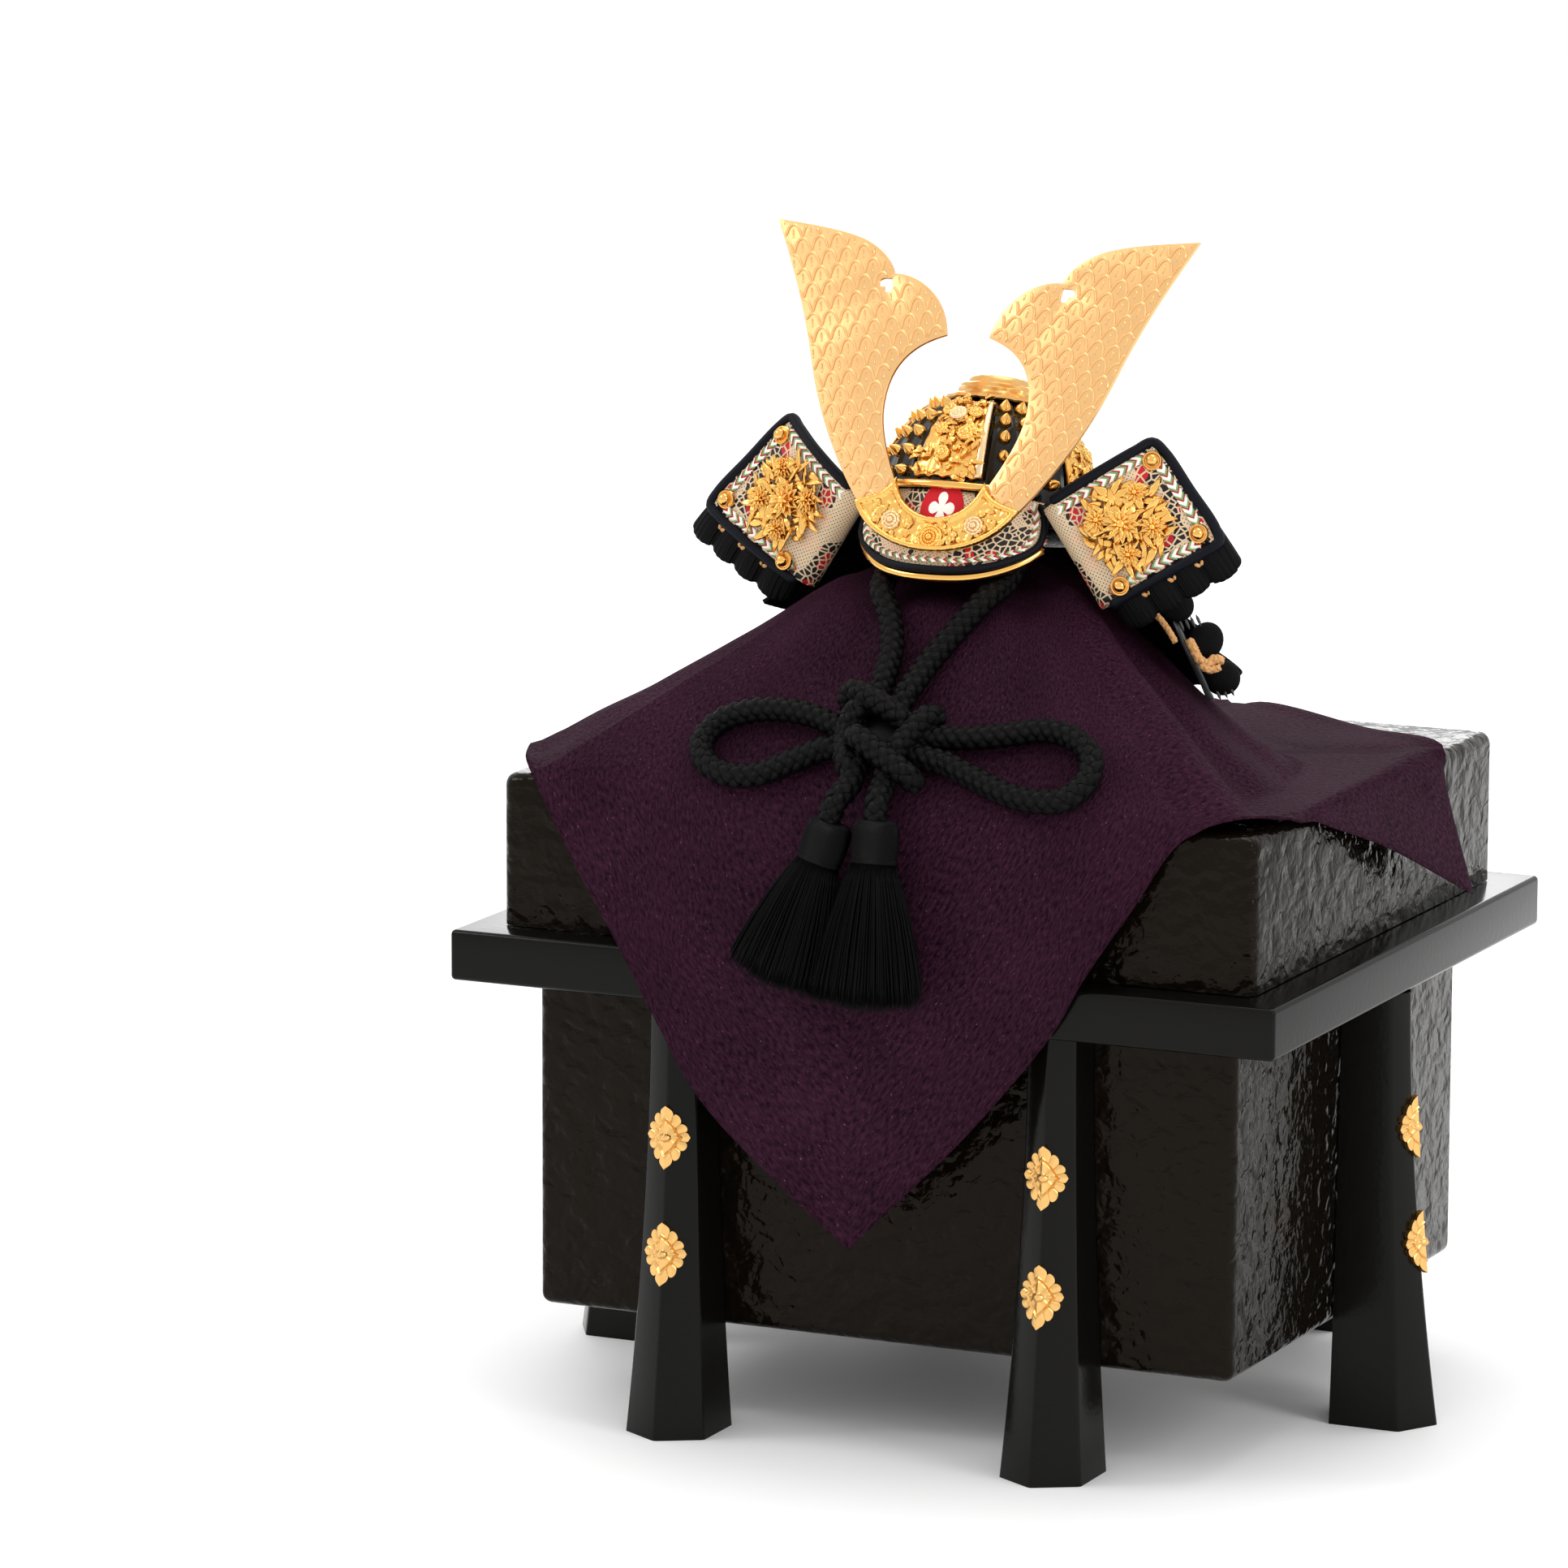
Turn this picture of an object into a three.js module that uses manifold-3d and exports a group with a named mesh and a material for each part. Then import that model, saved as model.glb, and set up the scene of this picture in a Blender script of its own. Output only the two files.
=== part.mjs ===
// A quarter-scale ornamental kabuto helmet on its six-legged chest, with the
// cloth that lies between them. Millimetres, +Z up, the helmet faces -Y.
// The origin is on the floor, under the middle of the chest.
import * as THREE from "three";
import { mergeVertices } from "three/addons/utils/BufferGeometryUtils.js";
import Module from "manifold-3d";

const wasm = await Module();
wasm.setup();

const GAP = 0.3;
const TURN = Math.PI * 2;
const radians = THREE.MathUtils.degToRad;
const lerp = THREE.MathUtils.lerp;
const UP = new THREE.Vector3(0, 1, 0);

// Chest
const LID = { width: 190, depth: 154.9, bottom: 116.2, top: 152.5, wall: 4, round: 2.5 };
const RIM = { width: 207.9, depth: 174.3, bottom: 103.8, top: 115.9, round: 0.8 };
const BODY = { width: 177, depth: 143.3, bottom: 23.9, wall: 4, round: 2 };

// Legs: half width, and how far the side corner and the ridge stand from the leg's back
const LEG = { top: 103.5, spread: 47.8, flare: 1.8, steps: 6 };
const LEG_HEAD = { half: 6.06, corner: 10.3, ridge: 12.9 };
const LEG_FOOT = { half: 10.24, corner: 15.2, ridge: 21.2 };
const FRONT_REACH = 72.1;
const SIDE_REACH = 88.9;
const SIDE_EXTRA = 2.3;
const FITTING = { heights: [44, 71.5], across: 11.2, tall: 15.3, thick: 0.6 };

// Stand post, hidden under the cloth
const POST = { y: -9, foot: 24, footTop: 156, column: 8, head: 12.8, headTop: 234.6 };

// Helmet frame: tilted back about X, with its own origin in the middle of the bowl's rim
const HELMET = { y: -13, z: 212, tilt: 16.5 };
const BOWL = { radius: 25.3, height: 27.6, wall: 1.6, band: 4.5, ribs: 24, rib: 0.55, slices: 48 };
const RIVET = { radius: 1.5, height: 2.9, sides: 6, rows: 5, low: 0.13, pitch: 0.12 };
const PLATE = { span: 40, low: 0.1, high: 0.64, thick: 1.1 };
const CROWN = { radius: 12.2, foot: 25.1, top: 31.4, sides: 16 };
const VISOR = { half: 55, drop: 19.6, dropEnd: 9.5, flare: 3.2, swell: 0.4, thick: 1.3, bead: 1.9 };

// Horns and their base lie in one plane, which leans back a little more than the helmet
const HORN_PLANE = { y: -29.2, z: -3, lean: 7.8 };
const HORN = { thick: 1.0, back: 0.9 };
const HORN_BASE = { thick: 1.3 };

// Turn-backs: the corners of the right one, in the helmet frame
const TURNBACK = {
  innerTop: [24.3, -23.0, -1.3],
  innerLow: [37.3, -14.3, -22.7],
  outerTop: [46.8, -14.3, 17.2],
  outerLow: [65.2, -13.1, -4.3],
  face: [0.2316, -0.972, -0.0547],
  bend: 4.2,
  bendTurn: 150,
  tail: 4,
  bulge: 1.6,
  thick: 1.4,
};

// Neck guard: a wide cone of lames, each a little outside the one below it
const GUARD = { radius: 26.2, z: -1, slope: 42, pitch: 9.4, height: 10.8, step: 2.6, thick: 1.6 };
const LAMES = [
  { name: "neck_lame_1", front: 78 },
  { name: "neck_lame_2", front: 81 },
  { name: "neck_lame_3", front: 86 },
  { name: "neck_lame_4", front: 96 },
  { name: "neck_lame_5", front: 106 },
];

// Cord
const CORD = { diameter: 6.2, sides: 8 };

// Slope: the straight front face of the cloth, from under the visor to the lid's front edge
const SLOPE = { topY: -36, topZ: 200, lowY: -79, lowZ: 154.5 };

// Finishes
const gold = (rough) => new THREE.MeshStandardMaterial({ color: 0xe3b45a, roughness: rough, metalness: 1 });
const lacquer = () => new THREE.MeshStandardMaterial({ color: 0x0b0b0c, roughness: 0.3, metalness: 0 });
const silk = () => new THREE.MeshStandardMaterial({ color: 0x0d0d0e, roughness: 0.85, metalness: 0 });
const crepe = () => new THREE.MeshStandardMaterial({ color: 0x3a1a30, roughness: 0.9, metalness: 0 });
const leather = () => new THREE.MeshStandardMaterial({ color: 0xe8d2b0, roughness: 0.6, metalness: 0 });
const wood = () => new THREE.MeshStandardMaterial({ color: 0xb58f63, roughness: 0.8, metalness: 0 });

const model = new THREE.Group();
const helmet = new THREE.Group();
helmet.position.set(0, HELMET.y, HELMET.z);
helmet.rotation.x = -radians(HELMET.tilt);
model.add(helmet);

function put(parent, name, geometry, material) {
  const mesh = new THREE.Mesh(geometry, material);
  mesh.name = name;
  parent.add(mesh);
  return mesh;
}

// Six times the volume that the triangles enclose, negative when they face inwards
function signedVolume(geometry) {
  const p = geometry.attributes.position;
  const index = geometry.index.array;
  const [a, b, c] = [new THREE.Vector3(), new THREE.Vector3(), new THREE.Vector3()];
  let sum = 0;
  for (let i = 0; i < index.length; i += 3) {
    a.fromBufferAttribute(p, index[i]);
    b.fromBufferAttribute(p, index[i + 1]);
    c.fromBufferAttribute(p, index[i + 2]);
    sum += a.dot(b.cross(c));
  }
  return sum;
}

// One closed body: shared corners merged, empty triangles dropped, faces pointing out
function closed(geometry, place = (p) => p) {
  const bare = geometry.index ? geometry : geometry.clone();
  bare.deleteAttribute("normal");
  bare.deleteAttribute("uv");
  const merged = mergeVertices(bare, 1e-4);
  const p = merged.attributes.position;
  const point = new THREE.Vector3();
  for (let i = 0; i < p.count; i++) {
    const [x, y, z] = place(point.fromBufferAttribute(p, i).toArray());
    p.setXYZ(i, x, y, z);
  }
  const kept = [];
  const index = merged.index.array;
  for (let i = 0; i < index.length; i += 3) {
    const [a, b, c] = [index[i], index[i + 1], index[i + 2]];
    if (a !== b && b !== c && c !== a) kept.push(a, b, c);
  }
  merged.setIndex(kept);
  if (signedVolume(merged) < 0) {
    for (let i = 0; i < kept.length; i += 3) [kept[i], kept[i + 1]] = [kept[i + 1], kept[i]];
    merged.setIndex(kept);
  }
  return merged;
}

// A wall laid on a surface: place(u, v, t) with u and v along it and t from its back to its face
function wall(nu, nv, place, nt = 1) {
  return closed(new THREE.BoxGeometry(1, 1, 1, nu, nv, nt), ([x, y, z]) => place(x + 0.5, y + 0.5, z + 0.5));
}

// A turned piece: the profile is a list of [radius, height] rows; reshape may move each point
function turned(profile, sides, reshape = (p) => p) {
  const points = profile.map(([r, z]) => new THREE.Vector2(r, z));
  return closed(new THREE.LatheGeometry(points, sides), ([x, y, z]) => reshape([x, -z, y]));
}

function tube(points, diameter, sides, steps) {
  const path = new THREE.CatmullRomCurve3(points.map((p) => new THREE.Vector3(...p)), false, "centripetal");
  const section = new THREE.Shape();
  for (let i = 0; i < sides; i++) {
    const angle = (TURN * i) / sides;
    section[i ? "lineTo" : "moveTo"](Math.cos(angle) * diameter / 2, Math.sin(angle) * diameter / 2);
  }
  return closed(new THREE.ExtrudeGeometry(section, { extrudePath: path, steps, bevelEnabled: false }));
}

function solidOf(geometry) {
  const vertProperties = new Float32Array(geometry.attributes.position.array);
  const triVerts = new Uint32Array(geometry.index.array);
  return new wasm.Manifold(new wasm.Mesh({ numProp: 3, vertProperties, triVerts }));
}

function geometryOf(solid) {
  const mesh = solid.getMesh();
  const geometry = new THREE.BufferGeometry();
  geometry.setAttribute("position", new THREE.BufferAttribute(mesh.vertProperties, 3));
  geometry.setIndex(new THREE.BufferAttribute(mesh.triVerts, 1));
  return geometry;
}

const joined = (geometries) => geometryOf(geometries.map(solidOf).reduce((a, b) => a.add(b)));

function cut(geometry, tools) {
  return geometryOf(tools.map(solidOf).reduce((a, b) => a.subtract(b), solidOf(geometry)));
}

function block(x0, x1, y0, y1, z0, z1) {
  const box = new THREE.BoxGeometry(x1 - x0, y1 - y0, z1 - z0);
  box.translate((x0 + x1) / 2, (y0 + y1) / 2, (z0 + z1) / 2);
  return closed(box);
}

// A slab with all its edges rounded
function slab(width, depth, bottom, top, round) {
  const [hx, hy] = [width / 2 - round, depth / 2 - round];
  const corner = 0.8;
  const shape = new THREE.Shape();
  shape.moveTo(-hx + corner, -hy);
  shape.absarc(hx - corner, -hy + corner, corner, -Math.PI / 2, 0, false);
  shape.absarc(hx - corner, hy - corner, corner, 0, Math.PI / 2, false);
  shape.absarc(-hx + corner, hy - corner, corner, Math.PI / 2, Math.PI, false);
  shape.absarc(-hx + corner, -hy + corner, corner, Math.PI, Math.PI * 1.5, false);
  const depthInside = top - bottom - 2 * round;
  const bevel = { bevelSize: round, bevelThickness: round, bevelSegments: 2 };
  const options = { depth: depthInside, curveSegments: 2, ...bevel };
  const geometry = new THREE.ExtrudeGeometry(shape, options);
  geometry.translate(0, 0, bottom + round);
  return closed(geometry);
}

function buildChest() {
  const inside = ({ width, depth, wall }, low, high) => {
    const [hx, hy] = [width / 2 - wall, depth / 2 - wall];
    return block(-hx, hx, -hy, hy, low, high);
  };
  const body = slab(BODY.width, BODY.depth, BODY.bottom, RIM.top + BODY.round, BODY.round);
  const top = block(-BODY.width, BODY.width, -BODY.depth, BODY.depth, RIM.top, RIM.top + 20);
  put(model, "chest_body", cut(body, [inside(BODY, BODY.bottom + BODY.wall, RIM.top + 20), top]), lacquer());

  const [hx, hy] = [BODY.width / 2 + GAP, BODY.depth / 2 + GAP];
  const rim = slab(RIM.width, RIM.depth, RIM.bottom, RIM.top, RIM.round);
  put(model, "chest_rim", cut(rim, [block(-hx, hx, -hy, hy, RIM.bottom - 5, RIM.top + 5)]), lacquer());

  const lid = slab(LID.width, LID.depth, LID.bottom, LID.top, LID.round);
  put(model, "chest_lid", cut(lid, [inside(LID, LID.bottom - 5, LID.top - LID.wall)]), lacquer());
}

// The leg's section at a height: it flares toward the foot
function legAt(z, extra) {
  const flare = (1 - z / LEG.top) ** LEG.flare;
  const half = lerp(LEG_HEAD.half, LEG_FOOT.half, flare);
  const corner = lerp(LEG_HEAD.corner, LEG_FOOT.corner, flare) + extra;
  const ridge = lerp(LEG_HEAD.ridge, LEG_FOOT.ridge, flare) + extra;
  return { half, corner, ridge };
}

function legGeometry(extra) {
  const corners = [[-1, 0], [1, 0], [1, 1], [0, 2], [-1, 1]];
  const shape = new THREE.Shape(corners.map(([x, y]) => new THREE.Vector2(x, y)));
  const column = new THREE.ExtrudeGeometry(shape, { depth: LEG.top, steps: LEG.steps, bevelEnabled: false });
  return closed(column, ([x, y, z]) => {
    const { half, corner, ridge } = legAt(z, extra);
    return [x * half, y > 1 ? lerp(corner, ridge, y - 1) : y * corner, z];
  });
}

// A scalloped diamond, folded over the leg's ridge
function fittingGeometry(height, extra) {
  const { across, tall, thick } = FITTING;
  const disc = new THREE.CylinderGeometry(1, 1, 1, 12, 1);
  return closed(disc, ([x, y, z]) => {
    const angle = Math.atan2(z, x);
    const reach = Math.hypot(x, z);
    const diamond = 1 / (Math.abs(Math.cos(angle)) / (across / 2) + Math.abs(Math.sin(angle)) / (tall / 2));
    const scallop = 1 + 0.1 * Math.abs(Math.sin(4 * angle));
    const side = Math.cos(angle) * reach * diamond * scallop;
    const up = Math.sin(angle) * reach * diamond * scallop;
    const { half, corner, ridge } = legAt(height + up, extra);
    const facet = Math.hypot(half, ridge - corner);
    const [fx, fy] = [half / facet, (ridge - corner) / facet];
    const lift = y > 0 ? GAP + thick + (1 - reach) * 0.9 : GAP;
    const sign = Math.abs(side) < 1e-6 ? 0 : Math.sign(side);
    const out = sign === 0 ? lift / fx : lift * fx;
    return [side * fx + sign * lift * fy, ridge - Math.abs(side) * fy + out, height + up];
  });
}

function buildLegs() {
  const rows = [
    { name: "front_left", turn: 180, x: -LEG.spread, y: -FRONT_REACH, extra: 0 },
    { name: "front_right", turn: 180, x: LEG.spread, y: -FRONT_REACH, extra: 0 },
    { name: "back_left", turn: 0, x: -LEG.spread, y: FRONT_REACH, extra: 0 },
    { name: "back_right", turn: 0, x: LEG.spread, y: FRONT_REACH, extra: 0 },
    { name: "side_left", turn: 90, x: -SIDE_REACH, y: 0, extra: SIDE_EXTRA },
    { name: "side_right", turn: -90, x: SIDE_REACH, y: 0, extra: SIDE_EXTRA },
  ];
  for (const { name, turn, x, y, extra } of rows) {
    const place = new THREE.Group();
    place.position.set(x, y, 0);
    place.rotation.z = radians(turn);
    model.add(place);
    put(place, `leg_${name}`, legGeometry(extra), lacquer());
    FITTING.heights.forEach((height, i) => {
      put(place, `fitting_${name}_${i ? "high" : "low"}`, fittingGeometry(height, extra), gold(0.3));
    });
  }
}

// The hidden post that carries the helmet: foot, column and round head
function buildPost() {
  const { y, foot, footTop, column, head, headTop } = POST;
  const profile = [[0, LID.top + GAP], [foot, LID.top + GAP], [foot, footTop], [column, footTop + 2]];
  profile.push([column, headTop - head - 8], [head, headTop - head - 2]);
  for (let i = 0; i < 6; i++) {
    const angle = (Math.PI / 2) * (i / 6);
    profile.push([head * Math.cos(angle), headTop - head + head * Math.sin(angle)]);
  }
  profile.push([0, headTop]);
  put(model, "stand_post", turned(profile, 14, ([px, py, pz]) => [px, py + y, pz]), wood());
}

// Cloth: its outer face. Rows of the hem, all round, one for each spoke of the cloth
const HEM = [
  { at: "left corner", x: -104, y: 32, z: 124 },
  { at: "left edge", x: -101, y: -2, z: 135 },
  { at: "left edge", x: -99, y: -36, z: 147 },
  { at: "over the lid's left edge", x: -97, y: -58, z: 154.8 },
  { at: "over the lid's front edge", x: -86.5, y: -79.4, z: 154.2 },
  { at: "front left", x: -73, y: -84, z: 134 },
  { at: "front left", x: -60.3, y: -89, z: 118.5 },
  { at: "front left", x: -49.5, y: -89.2, z: 100 },
  { at: "front left", x: -38.6, y: -89.2, z: 82.7 },
  { at: "front left", x: -18, y: -89.2, z: 64 },
  { at: "front corner", x: 0, y: -89.2, z: 50 },
  { at: "front right", x: 15, y: -89.2, z: 65 },
  { at: "front right", x: 31.3, y: -89.2, z: 81.9 },
  { at: "front right", x: 51.2, y: -89.2, z: 106.5 },
  { at: "front right", x: 57.5, y: -88.9, z: 118 },
  { at: "front right", x: 67.3, y: -83, z: 134.6 },
  { at: "over the lid's front edge", x: 78, y: -79.5, z: 151 },
  { at: "bridges the lid's corner", x: 89, y: -73, z: 155.6 },
  { at: "over the lid's right edge", x: 97, y: -56, z: 154.6 },
  { at: "right edge", x: 98.5, y: -37, z: 148.5 },
  { at: "right edge", x: 101, y: -8, z: 139 },
  { at: "right corner", x: 106.5, y: 34, z: 121 },
  { at: "right edge, back", x: 97.5, y: 37, z: 149 },
  { at: "right edge, back", x: 96.8, y: 39, z: 154.6 },
  { at: "back right", x: 70, y: 56, z: 154.8 },
  { at: "back right", x: 33, y: 77, z: 154.8 },
  { at: "back right", x: 25, y: 79.6, z: 151 },
  { at: "back corner", x: 0, y: 81, z: 136 },
  { at: "back left", x: -25, y: 79.6, z: 151 },
  { at: "back left", x: -33, y: 77, z: 154.8 },
  { at: "back left", x: -70, y: 56, z: 154.8 },
  { at: "left edge, back", x: -96.8, y: 38, z: 154.6 },
  { at: "left edge, back", x: -98, y: 36, z: 149 },
];

// Tent: in each plan direction, the shoulder that the cloth falls from and the foot it falls to
const TENT = [
  { deg: 0, shoulder: 18, height: 201, foot: 76 },
  { deg: 40, shoulder: 16.5, height: 198, foot: 60 },
  { deg: 90, shoulder: 15.5, height: 192, foot: 42 },
  { deg: 145, shoulder: 16.5, height: 198, foot: 56 },
  { deg: 180, shoulder: 18, height: 202, foot: 84 },
  { deg: 208, shoulder: 28, height: 198, foot: 106 },
  { deg: 232, shoulder: 42, height: 193.5, foot: 200 },
  { deg: 251, shoulder: 35.4, height: 193.1, foot: 200 },
  { deg: 270, shoulder: 33, height: 193.6, foot: 200 },
  { deg: 288, shoulder: 35.2, height: 193.1, foot: 200 },
  { deg: 305, shoulder: 40, height: 193.9, foot: 200 },
  { deg: 324, shoulder: 33, height: 195, foot: 106 },
  { deg: 342, shoulder: 22, height: 199, foot: 84 },
];
const CLOTH = { thick: 1.2, neck: 11.4, neckTop: 213, neckLow: 205, lid: 154.4, tent: 4, hang: 2 };

// A value between the rows of a table that goes all round, by the rows' deg
function around(table, key, deg) {
  const turn = ((deg % 360) + 360) % 360;
  const next = table.findIndex((row) => row.deg > turn);
  const b = table[next < 0 ? 0 : next];
  const a = table[(next < 0 ? table.length : next + table.length) - 1 - (next > 0 ? table.length : 0)];
  const span = ((b.deg - a.deg + 360) % 360) || 360;
  const share = ((turn - a.deg + 360) % 360) / span;
  return lerp(a[key], b[key], share * share * (3 - 2 * share));
}

// Keeps a point of the cloth clear of the lid and the rim board
function settle([x, y, z], margin) {
  const boxes = [
    { hx: LID.width / 2, hy: LID.depth / 2, top: LID.top },
    { hx: RIM.width / 2, hy: RIM.depth / 2, top: RIM.top },
  ];
  let p = [x, y, z];
  for (const { hx, hy, top } of boxes) {
    const out = [hx + margin - Math.abs(p[0]), hy + margin - Math.abs(p[1]), top + margin - p[2]];
    if (Math.min(...out) <= 0) continue;
    const axis = out.indexOf(Math.min(...out));
    if (axis === 2) p[2] = top + margin;
    else p[axis] = Math.sign(p[axis]) * ((axis ? hy : hx) + margin);
  }
  return p;
}

// How far a slab's edge is from the post in a plan direction, with a margin
function edgeFrom({ width, depth }, dx, dy, margin) {
  const reachX = (width / 2 + margin) / Math.max(Math.abs(dx), 1e-6);
  const reachY = ((dy < 0 ? depth / 2 + POST.y : depth / 2 - POST.y) + margin) / Math.max(Math.abs(dy), 1e-6);
  return Math.min(reachX, reachY);
}

// Rings of the cloth over the post's round head, as [angle, radius beyond the head]
const HEAD_RINGS = [[64, 1.9], [36, 2.1], [8, 2.3], [-14, 2.1]];

// A polyline of [radius, height] rows as evenly spaced ones, its two ends included
function spaced(rows, count) {
  const path = new THREE.CurvePath();
  for (let i = 0; i + 1 < rows.length; i++) {
    path.add(new THREE.LineCurve(new THREE.Vector2(...rows[i]), new THREE.Vector2(...rows[i + 1])));
  }
  return Array.from({ length: count + 1 }, (_, i) => path.getPointAt(i / count).toArray());
}

// The rows of the cloth from the post's head to one point of the hem
function spoke(hem) {
  const [ox, oy] = [hem.x, hem.y - POST.y];
  const reach = Math.hypot(ox, oy);
  const [dx, dy] = [ox / reach, oy / reach];
  const deg = (Math.atan2(dy, dx) * 360) / TURN;
  const edge = edgeFrom(LID, dx, dy, 1.9);
  const shoulder = around(TENT, "shoulder", deg);
  const height = around(TENT, "height", deg);
  const foot = around(TENT, "foot", deg);
  const rows = [[0, POST.headTop + 1.7]];
  for (const [angle, more] of HEAD_RINGS) {
    const size = POST.head + more;
    rows.push([size * Math.cos(radians(angle)), POST.headTop - POST.head + size * Math.sin(radians(angle))]);
  }
  rows.push([CLOTH.neck, CLOTH.neckTop], [CLOTH.neck, Math.min(CLOTH.neckLow, height + 5)]);
  const crosses = reach > edge;
  const turn = crosses ? [edge, CLOTH.lid] : [reach * 0.97, lerp(CLOTH.lid, hem.z, 0.5)];
  const tent = [[shoulder, height], ...(foot < turn[0] ? [[foot, CLOTH.lid]] : []), turn];
  rows.push(...spaced(tent, CLOTH.tent));
  const rim = [edgeFrom(RIM, dx, dy, 1.9), RIM.top + 1.8];
  const share = crosses && hem.z < RIM.top + 10 ? 0.9 : 0.5;
  const between = [lerp(turn[0], reach, share), lerp(turn[1], hem.z, share)];
  const over = crosses && hem.z < RIM.top ? rim : between;
  rows.push(...spaced([turn, over], CLOTH.hang).slice(1));
  rows.push(...spaced([over, [reach, hem.z]], CLOTH.hang).slice(1));
  return rows.map(([r, z]) => [dx * r, POST.y + dy * r, z]);
}

function buildCloth() {
  const { thick } = CLOTH;
  const spokes = HEM.length;
  const grid = HEM.map((hem) => spoke(hem).map((p) => settle(p, 1.8)));
  const last = grid[0].length - 1;
  const clamp = THREE.MathUtils.clamp;
  const vector = (i, j) => new THREE.Vector3(...grid[(i + spokes) % spokes][clamp(j, 0, last)]);
  const inward = (i, j) => {
    if (j === 0) return new THREE.Vector3(0, 0, -1);
    const along = vector(i, j + 1).sub(vector(i, j - 1));
    const round = vector(i + 1, j).sub(vector(i - 1, j));
    return round.cross(along).normalize();
  };
  const rings = Array.from({ length: last + 1 }, (_, j) => j);
  const profile = [...rings.map((j) => [j, 1]), ...rings.reverse().map((j) => [j, 0])];
  return turned(profile, spokes, ([x, y, z]) => {
    const j = Math.round(Math.hypot(x, y));
    const i = Math.round((Math.atan2(y, x) / TURN) * spokes + spokes) % spokes;
    return vector(i, j).addScaledVector(inward(i, j), z > 0.5 ? 0 : thick).toArray();
  });
}

// A point of the bowl's surface, with up from 0 at the rim to 1 at the crown
function bowlPoint(deg, up, offset) {
  const rise = up * (Math.PI / 2);
  const r = (BOWL.radius + offset) * Math.cos(rise);
  const z = (BOWL.height + offset) * Math.sin(rise);
  const a = radians(deg);
  return [r * Math.sin(a), -r * Math.cos(a), z];
}

function buildBowl() {
  const rise = [0, 0.15, 0.3, 0.46, 0.63, 0.82];
  const dome = (radius, height, low) => {
    const rows = rise.map((t) => [radius * Math.cos(t * Math.PI / 2), height * Math.sin(t * Math.PI / 2)]);
    return [[0, low], [radius, low], ...rows, [0, height]];
  };
  const room = dome(BOWL.radius - BOWL.wall, BOWL.height - BOWL.wall, -BOWL.band - 2);
  const hollow = turned(room, BOWL.slices / 2);
  const ribEvery = BOWL.slices / BOWL.ribs;
  const shell = turned(dome(BOWL.radius, BOWL.height, -BOWL.band), BOWL.slices, ([x, y, z]) => {
    const r = Math.hypot(x, y);
    const slice = Math.round((Math.atan2(y, x) / TURN) * BOWL.slices + BOWL.slices);
    const onRib = r > 0.1 && z > 0.5 && slice % ribEvery === 1;
    const lift = onRib ? 1 + BOWL.rib / r : 1;
    return [x * lift, y * lift, z];
  });
  const rivets = [];
  for (let quarter = 0; quarter < 4; quarter++) {
    for (const column of [-1, 0, 1]) {
      for (let row = 0; row < RIVET.rows; row++) {
        const deg = 45 + quarter * 90 + column * 15;
        const cone = new THREE.ConeGeometry(RIVET.radius, RIVET.height, RIVET.sides, 1);
        cone.translate(0, RIVET.height / 2 - 0.4, 0);
        const up = RIVET.low + row * RIVET.pitch;
        const foot = new THREE.Vector3(...bowlPoint(deg, up, 0));
        const head = new THREE.Vector3(...bowlPoint(deg, up, 1));
        const turn = new THREE.Quaternion().setFromUnitVectors(UP, head.sub(foot).normalize());
        cone.applyQuaternion(turn);
        cone.translate(foot.x, foot.y, foot.z);
        rivets.push(closed(cone));
      }
    }
  }
  put(helmet, "bowl", cut(joined([shell, ...rivets]), [hollow]), lacquer());

  ["front", "right", "back", "left"].forEach((side, i) => {
    const plate = wall(6, 4, (u, v, t) => {
      const deg = i * 90 + (u - 0.5) * PLATE.span;
      const relief = t > 0.5 ? PLATE.thick + 0.5 * Math.abs(Math.sin(u * 9) * Math.cos(v * 8)) : 0;
      return bowlPoint(deg, lerp(PLATE.low, PLATE.high, v), BOWL.rib + GAP + relief);
    });
    put(helmet, `bowl_plate_${side}`, plate, gold(0.28));
  });
}

// Tiered crown fitting, the lowest tier with petals round its edge
function buildCrown() {
  const { radius, foot, top } = CROWN;
  const rows = [[0, BOWL.height + GAP], [5.5, BOWL.height + GAP - 0.1], [radius - 1.6, foot + 0.8]];
  rows.push([radius, foot + 0.1], [radius + 0.3, foot + 0.9], [radius - 2.4, foot + 2.2]);
  rows.push([9.4, foot + 3.2], [9.1, foot + 4.2]);
  rows.push([7.6, foot + 4.6], [7.2, top - 0.6], [6.6, top], [4.4, top], [4.0, top - 1.6], [0, top - 1.8]);
  const geometry = turned(rows, CROWN.sides, ([x, y, z]) => {
    const r = Math.hypot(x, y);
    const odd = Math.round((Math.atan2(y, x) / TURN) * CROWN.sides) % 2 !== 0;
    const petal = r > CROWN.radius - 1 && odd ? 0.97 : 1;
    return [x * petal, y * petal, z];
  });
  put(helmet, "crown_fitting", geometry, gold(0.3));
}

// A point of the visor: u across from -1 to 1, v from the bowl's band to the lip
function visorPoint(u, v, offset) {
  const deg = u * VISOR.half;
  const drop = lerp(VISOR.drop, VISOR.dropEnd, Math.abs(u) ** 2.4);
  const r = BOWL.radius + 0.5 + VISOR.flare * v + VISOR.swell * Math.sin(Math.PI * v) + offset;
  const a = radians(deg);
  return [r * Math.sin(a), -r * Math.cos(a), 1 - drop * v];
}

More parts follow.
